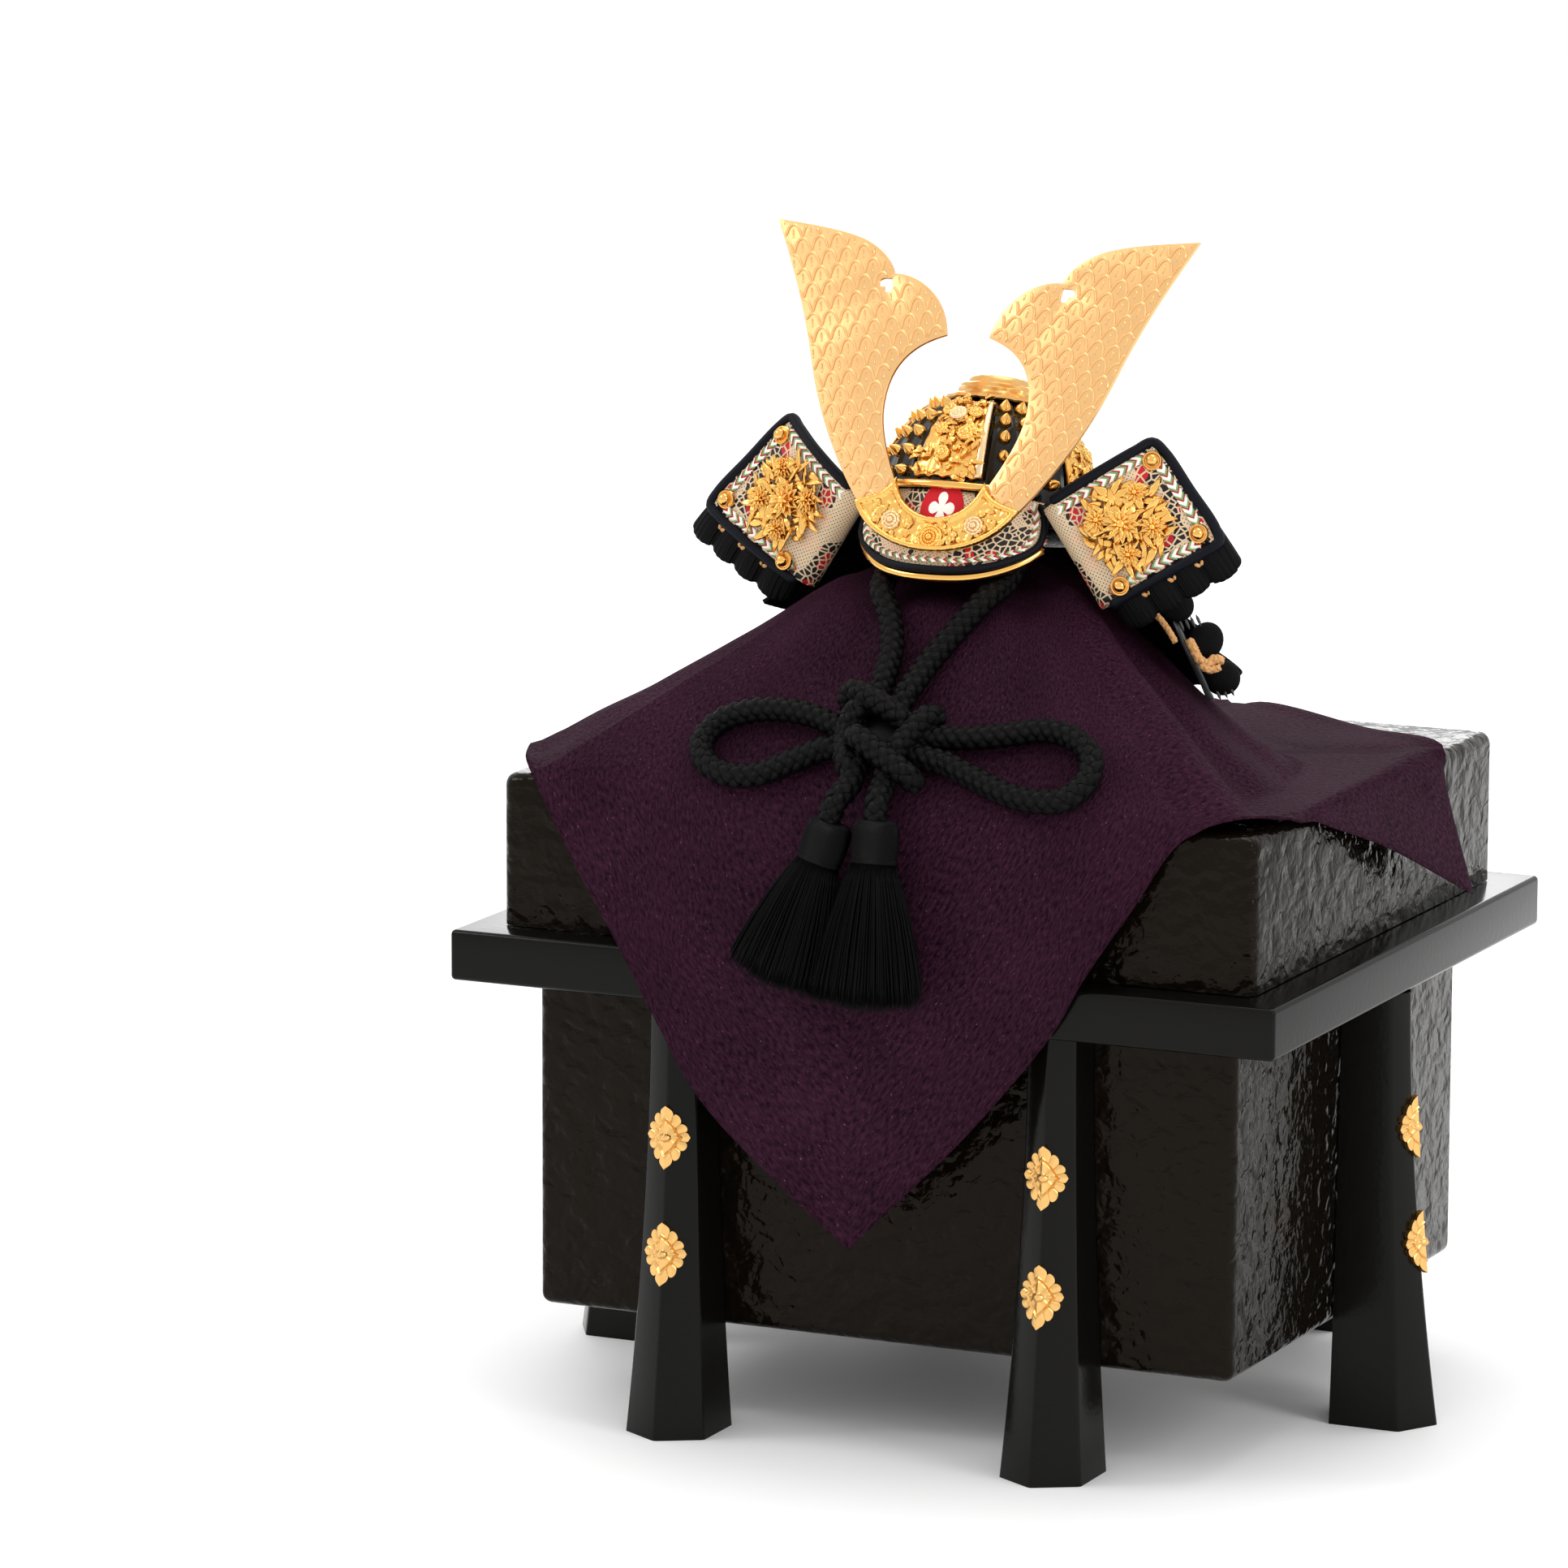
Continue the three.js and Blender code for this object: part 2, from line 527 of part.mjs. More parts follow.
function buildVisor() {
  put(helmet, "visor", wall(16, 4, (u, v, t) => visorPoint(u * 2 - 1, v, (1 - t) * VISOR.thick)), leather());
  const lip = [];
  for (let i = 0; i <= 20; i++) {
    const [x, y, z] = visorPoint(i / 10 - 1, 1, VISOR.thick / 2);
    lip.push([x, y, z - VISOR.bead / 2 - GAP]);
  }
  put(helmet, "visor_rim", tube(lip, VISOR.bead, 6, 18), gold(0.15));
  const bar = wall(14, 1, (u, v, t) => {
    const a = radians((u - 0.5) * 84);
    const r = BOWL.radius + BOWL.rib + GAP + t * 1.1;
    return [r * Math.sin(a), -r * Math.cos(a), 1.5 + v * 1.6];
  });
  put(helmet, "brow_bar", bar, gold(0.2));
}

// Places the horn plane: x across, y up the plane, z toward the wearer's front
function hornPlane() {
  const plane = new THREE.Group();
  plane.position.set(0, HORN_PLANE.y, HORN_PLANE.z);
  plane.rotation.x = Math.PI / 2 - radians(HORN_PLANE.lean);
  helmet.add(plane);
  return plane;
}

function hornShape() {
  const shape = new THREE.Shape();
  shape.moveTo(53.8, 67.4);
  shape.bezierCurveTo(44, 66.4, 36, 65.6, 30.4, 63.6);
  shape.bezierCurveTo(26.4, 62, 22.8, 59.4, 21.4, 55.6);
  shape.bezierCurveTo(16.6, 56, 7.4, 52.6, 5.4, 41.4);
  shape.bezierCurveTo(11.4, 39.4, 18.4, 35.4, 18.2, 24.2);
  shape.bezierCurveTo(18.2, 17.6, 14.6, 10.4, 10.6, 3.2);
  shape.lineTo(10.6, -1.4);
  shape.lineTo(19.4, -1.4);
  shape.bezierCurveTo(27.6, 8.8, 34.2, 20, 38.6, 33.2);
  shape.bezierCurveTo(42.6, 45.6, 48, 56.6, 53.8, 67.4);
  const heart = new THREE.Path();
  const at = (across, up) => [22.95 + 0.77 * across - 0.64 * up, 52.85 + 0.64 * across + 0.77 * up];
  heart.moveTo(...at(0, 2));
  heart.bezierCurveTo(...at(0.9, 1), ...at(2.1, 0.6), ...at(1.95, -0.5));
  heart.bezierCurveTo(...at(1.8, -1.6), ...at(0.4, -1.7), ...at(0, -0.6));
  heart.bezierCurveTo(...at(-0.4, -1.7), ...at(-1.8, -1.6), ...at(-1.95, -0.5));
  heart.bezierCurveTo(...at(-2.1, 0.6), ...at(-0.9, 1), ...at(0, 2));
  shape.holes.push(heart);
  return shape;
}

function hornBaseShape() {
  const shape = new THREE.Shape();
  shape.moveTo(-20.9, 0);
  shape.bezierCurveTo(-14, -15, 14, -15, 20.9, 0);
  shape.bezierCurveTo(16, 1.6, 13.4, 1.6, 11.2, 6.2);
  shape.bezierCurveTo(8.4, -5.9, -8.4, -5.9, -11.2, 6.2);
  shape.bezierCurveTo(-13.4, 1.6, -16, 1.6, -20.9, 0);
  return shape;
}

function buildHorns() {
  const plane = hornPlane();
  for (const [side, name] of [[1, "right"], [-1, "left"]]) {
    const options = { depth: HORN.thick, bevelEnabled: false, curveSegments: 6 };
    const plate = new THREE.ExtrudeGeometry(hornShape(), options);
    const geometry = closed(plate, ([x, y, z]) => [side * x, y, z - HORN.back - HORN.thick]);
    put(plane, `horn_${name}`, geometry, gold(0.35));
  }
  const options = { depth: HORN_BASE.thick, bevelEnabled: false, curveSegments: 8 };
  const base = new THREE.ExtrudeGeometry(hornBaseShape(), options);
  put(plane, "horn_base", closed(base, ([x, y, z]) => [x, y, z + GAP - HORN.back]), gold(0.3));
}

// A point of a turn-back's sheet, right side: u across from its bend, v down, lift toward its face
function turnbackPoint(u, v, lift) {
  const corner = (key) => new THREE.Vector3(...TURNBACK[key]);
  const face = corner("face");
  const inner = corner("innerTop").lerp(corner("innerLow"), v);
  const outer = corner("outerTop").lerp(corner("outerLow"), v);
  const across = outer.clone().sub(inner);
  const width = across.length();
  across.normalize();
  const normal = face.clone().addScaledVector(across, -face.dot(across)).normalize();
  const { bend, bendTurn, tail, bulge } = TURNBACK;
  const arc = radians(bendTurn) * bend;
  const along = u * (width - bend + arc + tail);
  const start = inner.clone().addScaledVector(across, bend);
  if (along > arc + tail) {
    const flat = along - arc - tail;
    const share = flat / (width - bend);
    const swell = bulge * Math.sin(Math.PI * share);
    return start.addScaledVector(across, flat).addScaledVector(normal, lift + swell);
  }
  const turn = Math.min((arc + tail - along) / bend, radians(bendTurn));
  const rest = Math.max(tail - along, 0);
  const r = bend + lift;
  const heading = across.clone().multiplyScalar(-Math.cos(turn)).addScaledVector(normal, -Math.sin(turn));
  return start.addScaledVector(normal, -bend).addScaledVector(across, -r * Math.sin(turn))
    .addScaledVector(normal, r * Math.cos(turn)).addScaledVector(heading, rest);
}

// Height of the gilt work over the sheet, clear of its facets
const SEAT = 0.45;
const mirror = (side, p) => [side * p.x, p.y, p.z];

function buildTurnbacks() {
  const { thick } = TURNBACK;
  for (const [side, name] of [[1, "right"], [-1, "left"]]) {
    const sheet = wall(17, 2, (u, v, t) => mirror(side, turnbackPoint(u, v, (t - 1) * thick)));
    put(helmet, `turnback_${name}`, sheet, leather());
    const lacing = wall(10, 1, (u, v, t) => {
      const p = turnbackPoint(lerp(0.34, 1.0, u), lerp(0.8, 1.32, v), 0);
      const face = new THREE.Vector3(...TURNBACK.face);
      return mirror(side, p.addScaledVector(face, -thick - 0.6 - (1 - t) * 2));
    });
    put(helmet, `turnback_lame_${name}`, lacing, silk());
    const relief = new THREE.CylinderGeometry(1, 1, 1, 28, 1);
    const peony = closed(relief, ([x, y, z]) => {
      const angle = Math.atan2(z, x);
      const reach = Math.hypot(x, z);
      const leaf = 1 - 0.22 * Math.abs(Math.sin(3.5 * angle));
      const u = 0.64 + 0.3 * Math.cos(angle) * reach * leaf;
      const v = 0.5 + 0.4 * Math.sin(angle) * reach * leaf;
      return mirror(side, turnbackPoint(u, v, y > 0 ? SEAT + 1.2 + 1.6 * (1 - reach) : SEAT));
    });
    put(helmet, `peony_${name}`, peony, gold(0.25));
    for (const [row, u, v] of [["top", 0.955, 0.12], ["low", 0.955, 0.88], ["inner", 0.42, 0.93]]) {
      const foot = turnbackPoint(u, v, SEAT);
      const head = turnbackPoint(u, v, SEAT + 1);
      const turn = new THREE.Quaternion().setFromUnitVectors(UP, head.sub(foot).normalize());
      const point = new THREE.Vector3();
      const cap = new THREE.ConeGeometry(1.7, 1.8, 10, 2);
      const geometry = closed(cap, (p) => {
        const high = (p[1] + 0.9) / 1.8;
        const r = 1.7 * Math.sqrt(Math.max(1 - high * high, 0)) / Math.max(1.7 * (1 - high), 1e-6);
        point.set(high > 0.99 ? 0 : p[0] * r, p[1] + 0.9, high > 0.99 ? 0 : p[2] * r);
        return mirror(side, point.applyQuaternion(turn).add(foot));
      });
      put(helmet, `turnback_stud_${row}_${name}`, geometry, gold(0.15));
    }
  }
}

// A point of a neck lame: deg round from the front, v down the lame, out from its inner face
function lamePoint(index, deg, v, out) {
  const slope = radians(GUARD.slope);
  const along = index * GUARD.pitch + v * GUARD.height;
  const lift = v * GUARD.step + out;
  const r = GUARD.radius + along * Math.cos(slope) + lift * Math.sin(slope);
  const z = GUARD.z - along * Math.sin(slope) + lift * Math.cos(slope);
  const a = radians(deg);
  return [r * Math.sin(a), -r * Math.cos(a), z];
}

function buildNeckGuard() {
  LAMES.forEach(({ name, front }, index) => {
    const lame = wall(24, 1, (u, v, t) => lamePoint(index, lerp(front, 360 - front, u), v, t * GUARD.thick));
    put(helmet, name, lame, silk());
  });
}

// A point over the cloth's front slope: x across, down along it, lift off it
function onSlope([x, down, lift]) {
  const run = new THREE.Vector2(SLOPE.lowY - SLOPE.topY, SLOPE.lowZ - SLOPE.topZ).normalize();
  return [x, SLOPE.topY + down * run.x + lift * run.y, SLOPE.topZ + down * run.y - lift * run.x];
}

// Strand rows over the cloth, from the knot up to the visor's lip
const STRAND_LEFT = [[-3.5, 35.8, 5], [-4.8, 24, 3.8], [-8.2, 15, 3.6], [-12.5, 8, 3.6]];
const STRAND_RIGHT = [[3.2, 38, 5.5], [5.4, 27, 3.8], [9.6, 17, 3.6], [14, 8, 3.6]];

// Rows under the brow, in the helmet frame, from the lip to the inside of the bowl
const BROW_LEFT = [[-14.6, -18.8, -18.3], [-15.9, -15.8, -12], [-16.2, -12.2, -6.5]];
const BROW_RIGHT = [[15.4, -18.1, -18.3], [16.4, -15.3, -12], [16.6, -11.8, -6.5]];

// Bow loops over the cloth, from the knot and back to it
const LOOP_LEFT = [
  [-11, 47, 4.4], [-17, 44.7, 4.4], [-25.4, 43.5, 4.4], [-33.8, 44.3, 4.2],
  [-41.5, 47.8, 3.6], [-43.9, 53.7, 3.6], [-41.1, 59, 3.6], [-34.5, 62, 3.9],
  [-26.9, 61.2, 3.9], [-21, 57.4, 3.7], [-12, 52.2, 4],
];
const LOOP_RIGHT = [
  [14.1, 47.4, 4.2], [22.4, 46.6, 4], [31, 44.6, 3.6], [38.9, 42.7, 3.6],
  [46.4, 44, 3.6], [52.3, 48.5, 3.6], [53.3, 55.5, 3.6], [49.4, 61, 3.9],
  [43.5, 62, 3.9], [36, 61, 3.9], [26.4, 57.3, 3.7], [17.3, 53.6, 4],
];

// Hidden stretch, in the helmet frame: inside the bowl's rim, behind the post
const HIDDEN = { radius: 20, z: 1.5, from: 75, to: 285, steps: 8 };

function fromHelmet(p) {
  const tilt = new THREE.Euler(-radians(HELMET.tilt), 0, 0);
  const point = new THREE.Vector3(...p).applyEuler(tilt);
  return [point.x, point.y + HELMET.y, point.z + HELMET.z];
}

function hiddenStretch() {
  return Array.from({ length: HIDDEN.steps + 1 }, (_, i) => {
    const a = radians(lerp(HIDDEN.to, HIDDEN.from, i / HIDDEN.steps));
    return fromHelmet([HIDDEN.radius * Math.sin(a), -HIDDEN.radius * Math.cos(a), HIDDEN.z]);
  });
}

function buildCords() {
  const { diameter, sides } = CORD;
  const left = [...STRAND_LEFT.map(onSlope), ...BROW_LEFT.map(fromHelmet)];
  const right = [...STRAND_RIGHT.map(onSlope), ...BROW_RIGHT.map(fromHelmet)];
  const route = [...left, ...hiddenStretch(), ...right.reverse()];
  put(model, "chin_cord", tube(route, diameter, sides, 30), silk());
  put(model, "bow_left", tube(LOOP_LEFT.map(onSlope), diameter, sides, 15), silk());
  put(model, "bow_right", tube(LOOP_RIGHT.map(onSlope), diameter, sides, 16), silk());
  const lobes = [
    [[-9, 38.8, 7.5], [-3, 41.5, 9.5], [5, 45, 8]],
    [[-5.5, 43.8, 8.5], [-7.6, 50, 6.2], [-4, 59, 7]],
    [[11.4, 43.6, 7], [8.4, 49.5, 7.5], [6.4, 54.5, 7.5]],
    [[-2.6, 52.6, 10], [4, 56.5, 10], [11.5, 60.4, 7.5]],
    [[-2.4, 57, 6], [-2.2, 64, 6.6], [-3.6, 69, 9.6]],
    [[5.6, 57, 6], [6, 64, 6.6], [6.6, 68.6, 9.8]],
  ];
  const core = new THREE.SphereGeometry(1, 10, 6);
  const heart = closed(core, ([x, y, z]) => onSlope([1 + x * 8.6, 50 + y * 8.6, 5.2 + z * 3.6]));
  const wraps = lobes.map((rows) => tube(rows.map(onSlope), diameter, sides, 3));
  put(model, "cord_knot", joined([heart, ...wraps]), silk());
}

// Tassels hang in front of the lid: rows of tail, head and skirt
const TASSELS = [
  { name: "left", head: [-5.2, -90.9, 146], foot: [-16.5, -96.9, 112], width: 20 },
  { name: "right", head: [7.2, -90.9, 147], foot: [7.3, -97.6, 108.6], width: 24 },
];

function buildTassels() {
  for (const { name, head, foot, width } of TASSELS) {
    const top = new THREE.Vector3(...head);
    const low = new THREE.Vector3(...foot);
    const axis = low.clone().sub(top);
    const length = axis.length() + 5;
    axis.normalize();
    const across = new THREE.Vector3(1, 0, 0).addScaledVector(axis, -axis.x).normalize();
    const depth = axis.clone().cross(across);
    const rows = [[0, 0], [3.4, 0], [5.2, 1.2], [5.6, 5], [5.4, 9.4], [5.0, 10.4]];
    rows.push([6, 16], [8, 26], [10, length], [0, length]);
    const geometry = turned(rows, 16, ([x, y, z]) => {
      const r = Math.hypot(x, y);
      const skirt = THREE.MathUtils.clamp((z - 10.4) / (length - 10.4), 0, 1);
      const lock = 1 + 0.06 * skirt * Math.cos(8 * Math.atan2(y, x));
      const wide = lerp(1, width / 20, skirt) * lock;
      const deep = lerp(0.92, 0.56, skirt) * lock;
      const ragged = z > length - 0.1 && r > 0.1 ? 0.6 * Math.abs(Math.sin(4 * Math.atan2(y, x))) : 0;
      const end = z - ragged;
      return top.clone().addScaledVector(axis, end - 5).addScaledVector(across, x * wide)
        .addScaledVector(depth, y * deep).toArray();
    });
    put(model, `tassel_${name}`, geometry, silk());
  }
}

buildChest();
buildLegs();
buildPost();
put(model, "display_cloth", buildCloth(), crepe());
buildBowl();
buildCrown();
buildVisor();
buildHorns();
buildTurnbacks();
buildNeckGuard();
buildCords();
buildTassels();

export default model;
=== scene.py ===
"""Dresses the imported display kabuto: lacquer, gilt castings, printed leather, silk braid and crepe.

Sizes in the code are millimetres in the row frame, or in the helmet's own tilted frame where a
comment says so. They turn to metres when a piece is made.
"""

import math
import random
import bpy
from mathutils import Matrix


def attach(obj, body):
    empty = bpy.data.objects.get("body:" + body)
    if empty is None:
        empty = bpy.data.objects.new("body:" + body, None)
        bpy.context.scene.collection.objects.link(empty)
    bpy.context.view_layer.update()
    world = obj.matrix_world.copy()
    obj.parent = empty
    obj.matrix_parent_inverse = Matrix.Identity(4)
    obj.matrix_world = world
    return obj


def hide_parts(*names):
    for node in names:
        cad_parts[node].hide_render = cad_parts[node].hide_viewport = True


bl_info = {
    "name": "Display kabuto",
    "version": (1, 0, 0),
    "blender": (4, 5, 0),
    "location": "View3D > Sidebar > Kabuto",
    "description": "Builds the finished surfaces of a display helmet around its packed frame",
    "category": "Add Mesh",
}

from bisect import bisect_right

import bmesh
import bpy
import numpy as np
from mathutils import Matrix, Vector, noise

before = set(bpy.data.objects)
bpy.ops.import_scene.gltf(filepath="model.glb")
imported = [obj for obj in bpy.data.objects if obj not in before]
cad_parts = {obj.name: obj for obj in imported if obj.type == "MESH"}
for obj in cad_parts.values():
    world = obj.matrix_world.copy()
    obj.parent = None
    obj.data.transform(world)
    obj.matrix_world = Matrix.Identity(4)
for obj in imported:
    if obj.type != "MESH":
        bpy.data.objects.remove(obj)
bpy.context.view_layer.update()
MM = 0.001
TURN = 2 * math.pi

# Studio lights: name, place, size and watts
LIGHTS = [("key", (-1.5, -0.7, 1.5), (0.7, 0.7), 9), ("side", (1.5, -0.5, 0.9), (0.5, 0.9), 7),
          ("top", (0.1, 0.4, 1.8), (1.2, 0.9), 8), ("back", (-1.3, 2.8, 0.9), (1.6, 1.0), 12)]

# Chest
LID = {"width": 190, "depth": 154.9, "bottom": 116.2, "top": 152.5, "wall": 4, "round": 3.0}
RIM = {"width": 207.9, "depth": 174.3, "bottom": 103.8, "top": 115.9, "round": 1.2}
BODY = {"width": 177, "depth": 143.3, "bottom": 23.9, "top": 115.9, "wall": 4, "round": 2.6}
LEG = {"top": 103.5, "spread": 47.8, "flare": 1.8, "front": 72.1, "side": 88.9, "extra": 2.3}
LEG_HEAD = (6.06, 10.3, 12.9)
LEG_FOOT = (10.24, 15.2, 21.2)
FITTING = {"heights": (44, 71.5), "across": 11.2, "tall": 15.3}
POST = {"y": -9, "head": 12.8, "headTop": 234.6}

# Helmet, in its own frame
HELMET = {"y": -13, "z": 212, "tilt": 16.5}
BOWL = {"radius": 25.3, "height": 27.6, "wall": 1.6, "band": 4.5, "ribs": 24, "rib": 0.55}
PLATE = {"span": 40, "low": 0.1, "high": 0.64}
RIVET = {"rows": 5, "low": 0.13, "pitch": 0.12,
         "profile": [(0, -0.4), (1.4, -0.4), (1.55, 0.2), (1.5, 0.75), (1.2, 1.35), (0.8, 1.95), (0.42, 2.45),
                     (0.15, 2.78), (0, 2.86)]}


CROWN = {"radius": 12.2, "foot": 25.1, "top": 31.4}
VISOR = {"half": 55, "drop": 19.6, "dropEnd": 9.5, "flare": 3.2, "swell": 0.4, "thick": 1.3, "bead": 1.9}
HORN_PLANE = {"y": -29.2, "z": -3, "lean": 7.8}
HORN = {"thick": 1.0, "back": 0.9}
TURNBACK = {
    "innerTop": (24.3, -23.0, -1.3),
    "innerLow": (37.3, -14.3, -22.7),
    "outerTop": (46.8, -14.3, 17.2),
    "outerLow": (65.2, -13.1, -4.3),
    "face": (0.2316, -0.972, -0.0547),
    "bend": 4.2,
    "bendTurn": 150,
    "tail": 4,
    "bulge": 1.6,
    "thick": 1.4,
}
GUARD = {"radius": 26.2, "z": -1, "slope": 42, "pitch": 9.4, "height": 10.8, "step": 2.6, "thick": 1.6}
LAME_FRONTS = (78, 81, 86, 96, 106)

# Cord routes: over the cloth's front slope as (across, down, lift), and in the helmet frame
SLOPE = {"topY": -36, "topZ": 200, "lowY": -79, "lowZ": 154.5}
STRAND_LEFT = [(-3.5, 35.8, 5), (-4.8, 24, 3.8), (-8.2, 15, 3.6), (-12.5, 8, 3.6)]
STRAND_RIGHT = [(3.2, 38, 5.5), (5.4, 27, 3.8), (9.6, 17, 3.6), (14, 8, 3.6)]
BROW_LEFT = [(-14.6, -18.8, -18.3), (-15.9, -15.8, -12), (-16.2, -12.2, -6.5)]
BROW_RIGHT = [(15.4, -18.1, -18.3), (16.4, -15.3, -12), (16.6, -11.8, -6.5)]
LOOP_LEFT = [(-11, 47, 4.4), (-17, 44.7, 4.4), (-25.4, 43.5, 4.4), (-33.8, 44.3, 4.2), (-41.5, 47.8, 3.6),
             (-43.9, 53.7, 3.6), (-41.1, 59, 3.6), (-34.5, 62, 3.9), (-26.9, 61.2, 3.9), (-21, 57.4, 3.7),
             (-12, 52.2, 4)]
LOOP_RIGHT = [(14.1, 47.4, 4.2), (22.4, 46.6, 4), (31, 44.6, 3.6), (38.9, 42.7, 3.6), (46.4, 44, 3.6),
              (52.3, 48.5, 3.6), (53.3, 55.5, 3.6), (49.4, 61, 3.9), (43.5, 62, 3.9), (36, 61, 3.9),
              (26.4, 57.3, 3.7), (17.3, 53.6, 4)]
KNOT_WRAPS = [
    [(-11, 40.5, 3), (-9, 38.8, 7.5), (-3, 41.5, 9.5), (5, 45, 8), (8, 47, 4)],
    [(-4, 42.5, 6), (-5.5, 43.8, 8.5), (-7.6, 50, 6.2), (-4, 59, 7), (-2, 61, 4)],
    [(13, 42, 4), (11.4, 43.6, 7), (8.4, 49.5, 7.5), (6.4, 54.5, 7.5), (5, 57, 5)],
    [(-5, 51.5, 6), (-2.6, 52.6, 10), (4, 56.5, 10), (11.5, 60.4, 7.5), (13, 61, 4)],
    [(-2.4, 55, 5), (-2.4, 57, 6), (-2.2, 64, 6.6), (-3.4, 68.5, 7.8), (-4.4, 72, 6.6), (-5, 75.5, 4.6)],
    [(5.6, 55, 5), (5.6, 57, 6), (6, 64, 6.6), (6.6, 68.5, 8), (6.9, 71.5, 6.8), (7.1, 75, 5)],
    [(-3, 49.5, 4.5), (-7, 48, 4.6), (-12.4, 46.7, 4.4)], [(-3, 51, 4), (-8, 52, 4.2), (-13.2, 52.8, 4)],
    [(6, 49, 5), (10, 48, 4.5), (15.6, 47.2, 4.2)], [(6, 52, 4.5), (12, 53, 4.2), (18.6, 54.1, 4)],
    [(-3, 44, 5), (-3.2, 40, 5), (-3.6, 34.8, 4.9)], [(2, 46, 5), (2.8, 42, 5.4), (3.4, 37, 5.4)],
]
HIDDEN = {"radius": 20, "z": 1.5, "from": 75, "to": 285, "steps": 8}
TASSELS = {
    "left": {"head": (-5.2, -90.9, 146), "foot": (-15.5, -96.9, 111.5), "width": 22},
    "right": {"head": (7.2, -90.9, 147), "foot": (7.3, -97.6, 108), "width": 24},
}

# Cloth: rows of its hem in plan order, with its four corners at places 0, 10, 21 and 27
HEM = [
    (-104, 32, 124), (-101, -2, 135), (-99, -36, 147), (-97, -58, 154.8), (-86.5, -79.4, 154.2),
    (-73, -84, 134), (-60.3, -89, 118.5), (-49.5, -89.2, 100), (-38.6, -89.2, 82.7), (-18, -89.2, 64),
    (0, -89.2, 50), (15, -89.2, 65), (31.3, -89.2, 81.9), (51.2, -89.2, 106.5), (57.5, -88.9, 118),
    (67.3, -83, 134.6), (78, -79.5, 151), (89, -73, 155.6), (97, -56, 154.6), (98.5, -37, 148.5),
    (101, -8, 139), (106.5, 34, 121), (97.5, 37, 149), (96.8, 39, 154.6), (70, 56, 154.8),
    (33, 77, 154.8), (25, 79.6, 151), (0, 81, 136), (-25, 79.6, 151), (-33, 77, 154.8),
    (-70, 56, 154.8), (-96.8, 38, 154.6), (-98, 36, 149),
]
HEM_CORNERS = (0, 10, 21, 27, 33)
# Tent: plan direction, shoulder that the cloth falls from, its height, and the foot it falls to
TENT = [
    (0, 18, 201, 76), (40, 16.5, 198, 60), (90, 15.5, 192, 42), (145, 16.5, 198, 56), (180, 18, 202, 84),
    (208, 28, 198, 106), (232, 42, 193.5, 200), (251, 35.4, 193.1, 200), (270, 33, 193.6, 200),
    (288, 35.2, 193.1, 200), (305, 40, 193.9, 200), (324, 33, 195, 106), (342, 22, 199, 84),
]
CLOTH = {"neck": 11.4, "neckTop": 213, "neckLow": 205, "lid": 154.4}
FOLDS = [
    (((29, -25), (72, -62), (83, -70)), 5.5, 2.6), (((19, -34), (27, -52), (30, -62)), 5, -2.6),
    (((46, -26), (92, -54)), 6, -2.2), (((-12, -37), (-19, -60)), 4.5, -1.2),
    (((-30, -32), (-70, -50), (-95, -57)), 6, 1.8), (((-40, -20), (-90, -40)), 6, -1.6),
]
HEAD_RINGS = [(64, 1.9), (36, 2.1), (8, 2.3), (-14, 2.1)]

# Camera, from the fit to the chest's straight edges
CAMERA = {"lens": 192.3, "azimuth": 24.917, "elevation": 10.537, "roll": 0.178, "distance": 2019.63,
          "target": (-57.979, 0, 139.824)}


def lerp(a, b, t):
    return a + (b - a) * t


def soft_step(t):
    t = min(max(t, 0.0), 1.0)
    return t * t * (3 - 2 * t)


def linear(code):
    """Turns an sRGB hex colour into the linear RGBA that a node takes."""
    parts = [int(code[i:i + 2], 16) / 255 for i in (1, 3, 5)]
    return (*(c / 12.92 if c <= 0.04045 else ((c + 0.055) / 1.055) ** 2.4 for c in parts), 1.0)


def chosen(name):
    """A colour from the panel, as a node socket takes it."""
    return (*getattr(bpy.context.scene.kabuto_colours, name), 1.0)


def add(tree, kind, inputs=None, **settings):
    """Adds a node with its settings, and sets or links each of its inputs."""
    node = tree.nodes.new("ShaderNode" + kind)
    for key, value in settings.items():
        setattr(node, key, value)
    for key, value in (inputs or {}).items():
        if isinstance(value, bpy.types.NodeSocket):
            tree.links.new(value, node.inputs[key])
        else:
            node.inputs[key].default_value = value
    return node


def new_finish(name, constants):
    """A material with the given constants on its shader, its tree, the shader and the piece's coordinates."""
    material = bpy.data.materials.new(name)
    material.use_nodes = True
    tree = material.node_tree
    shader = tree.nodes["Principled BSDF"]
    for key, value in constants.items():
        shader.inputs[key].default_value = value
    return material, tree, shader, add(tree, "TexCoord")


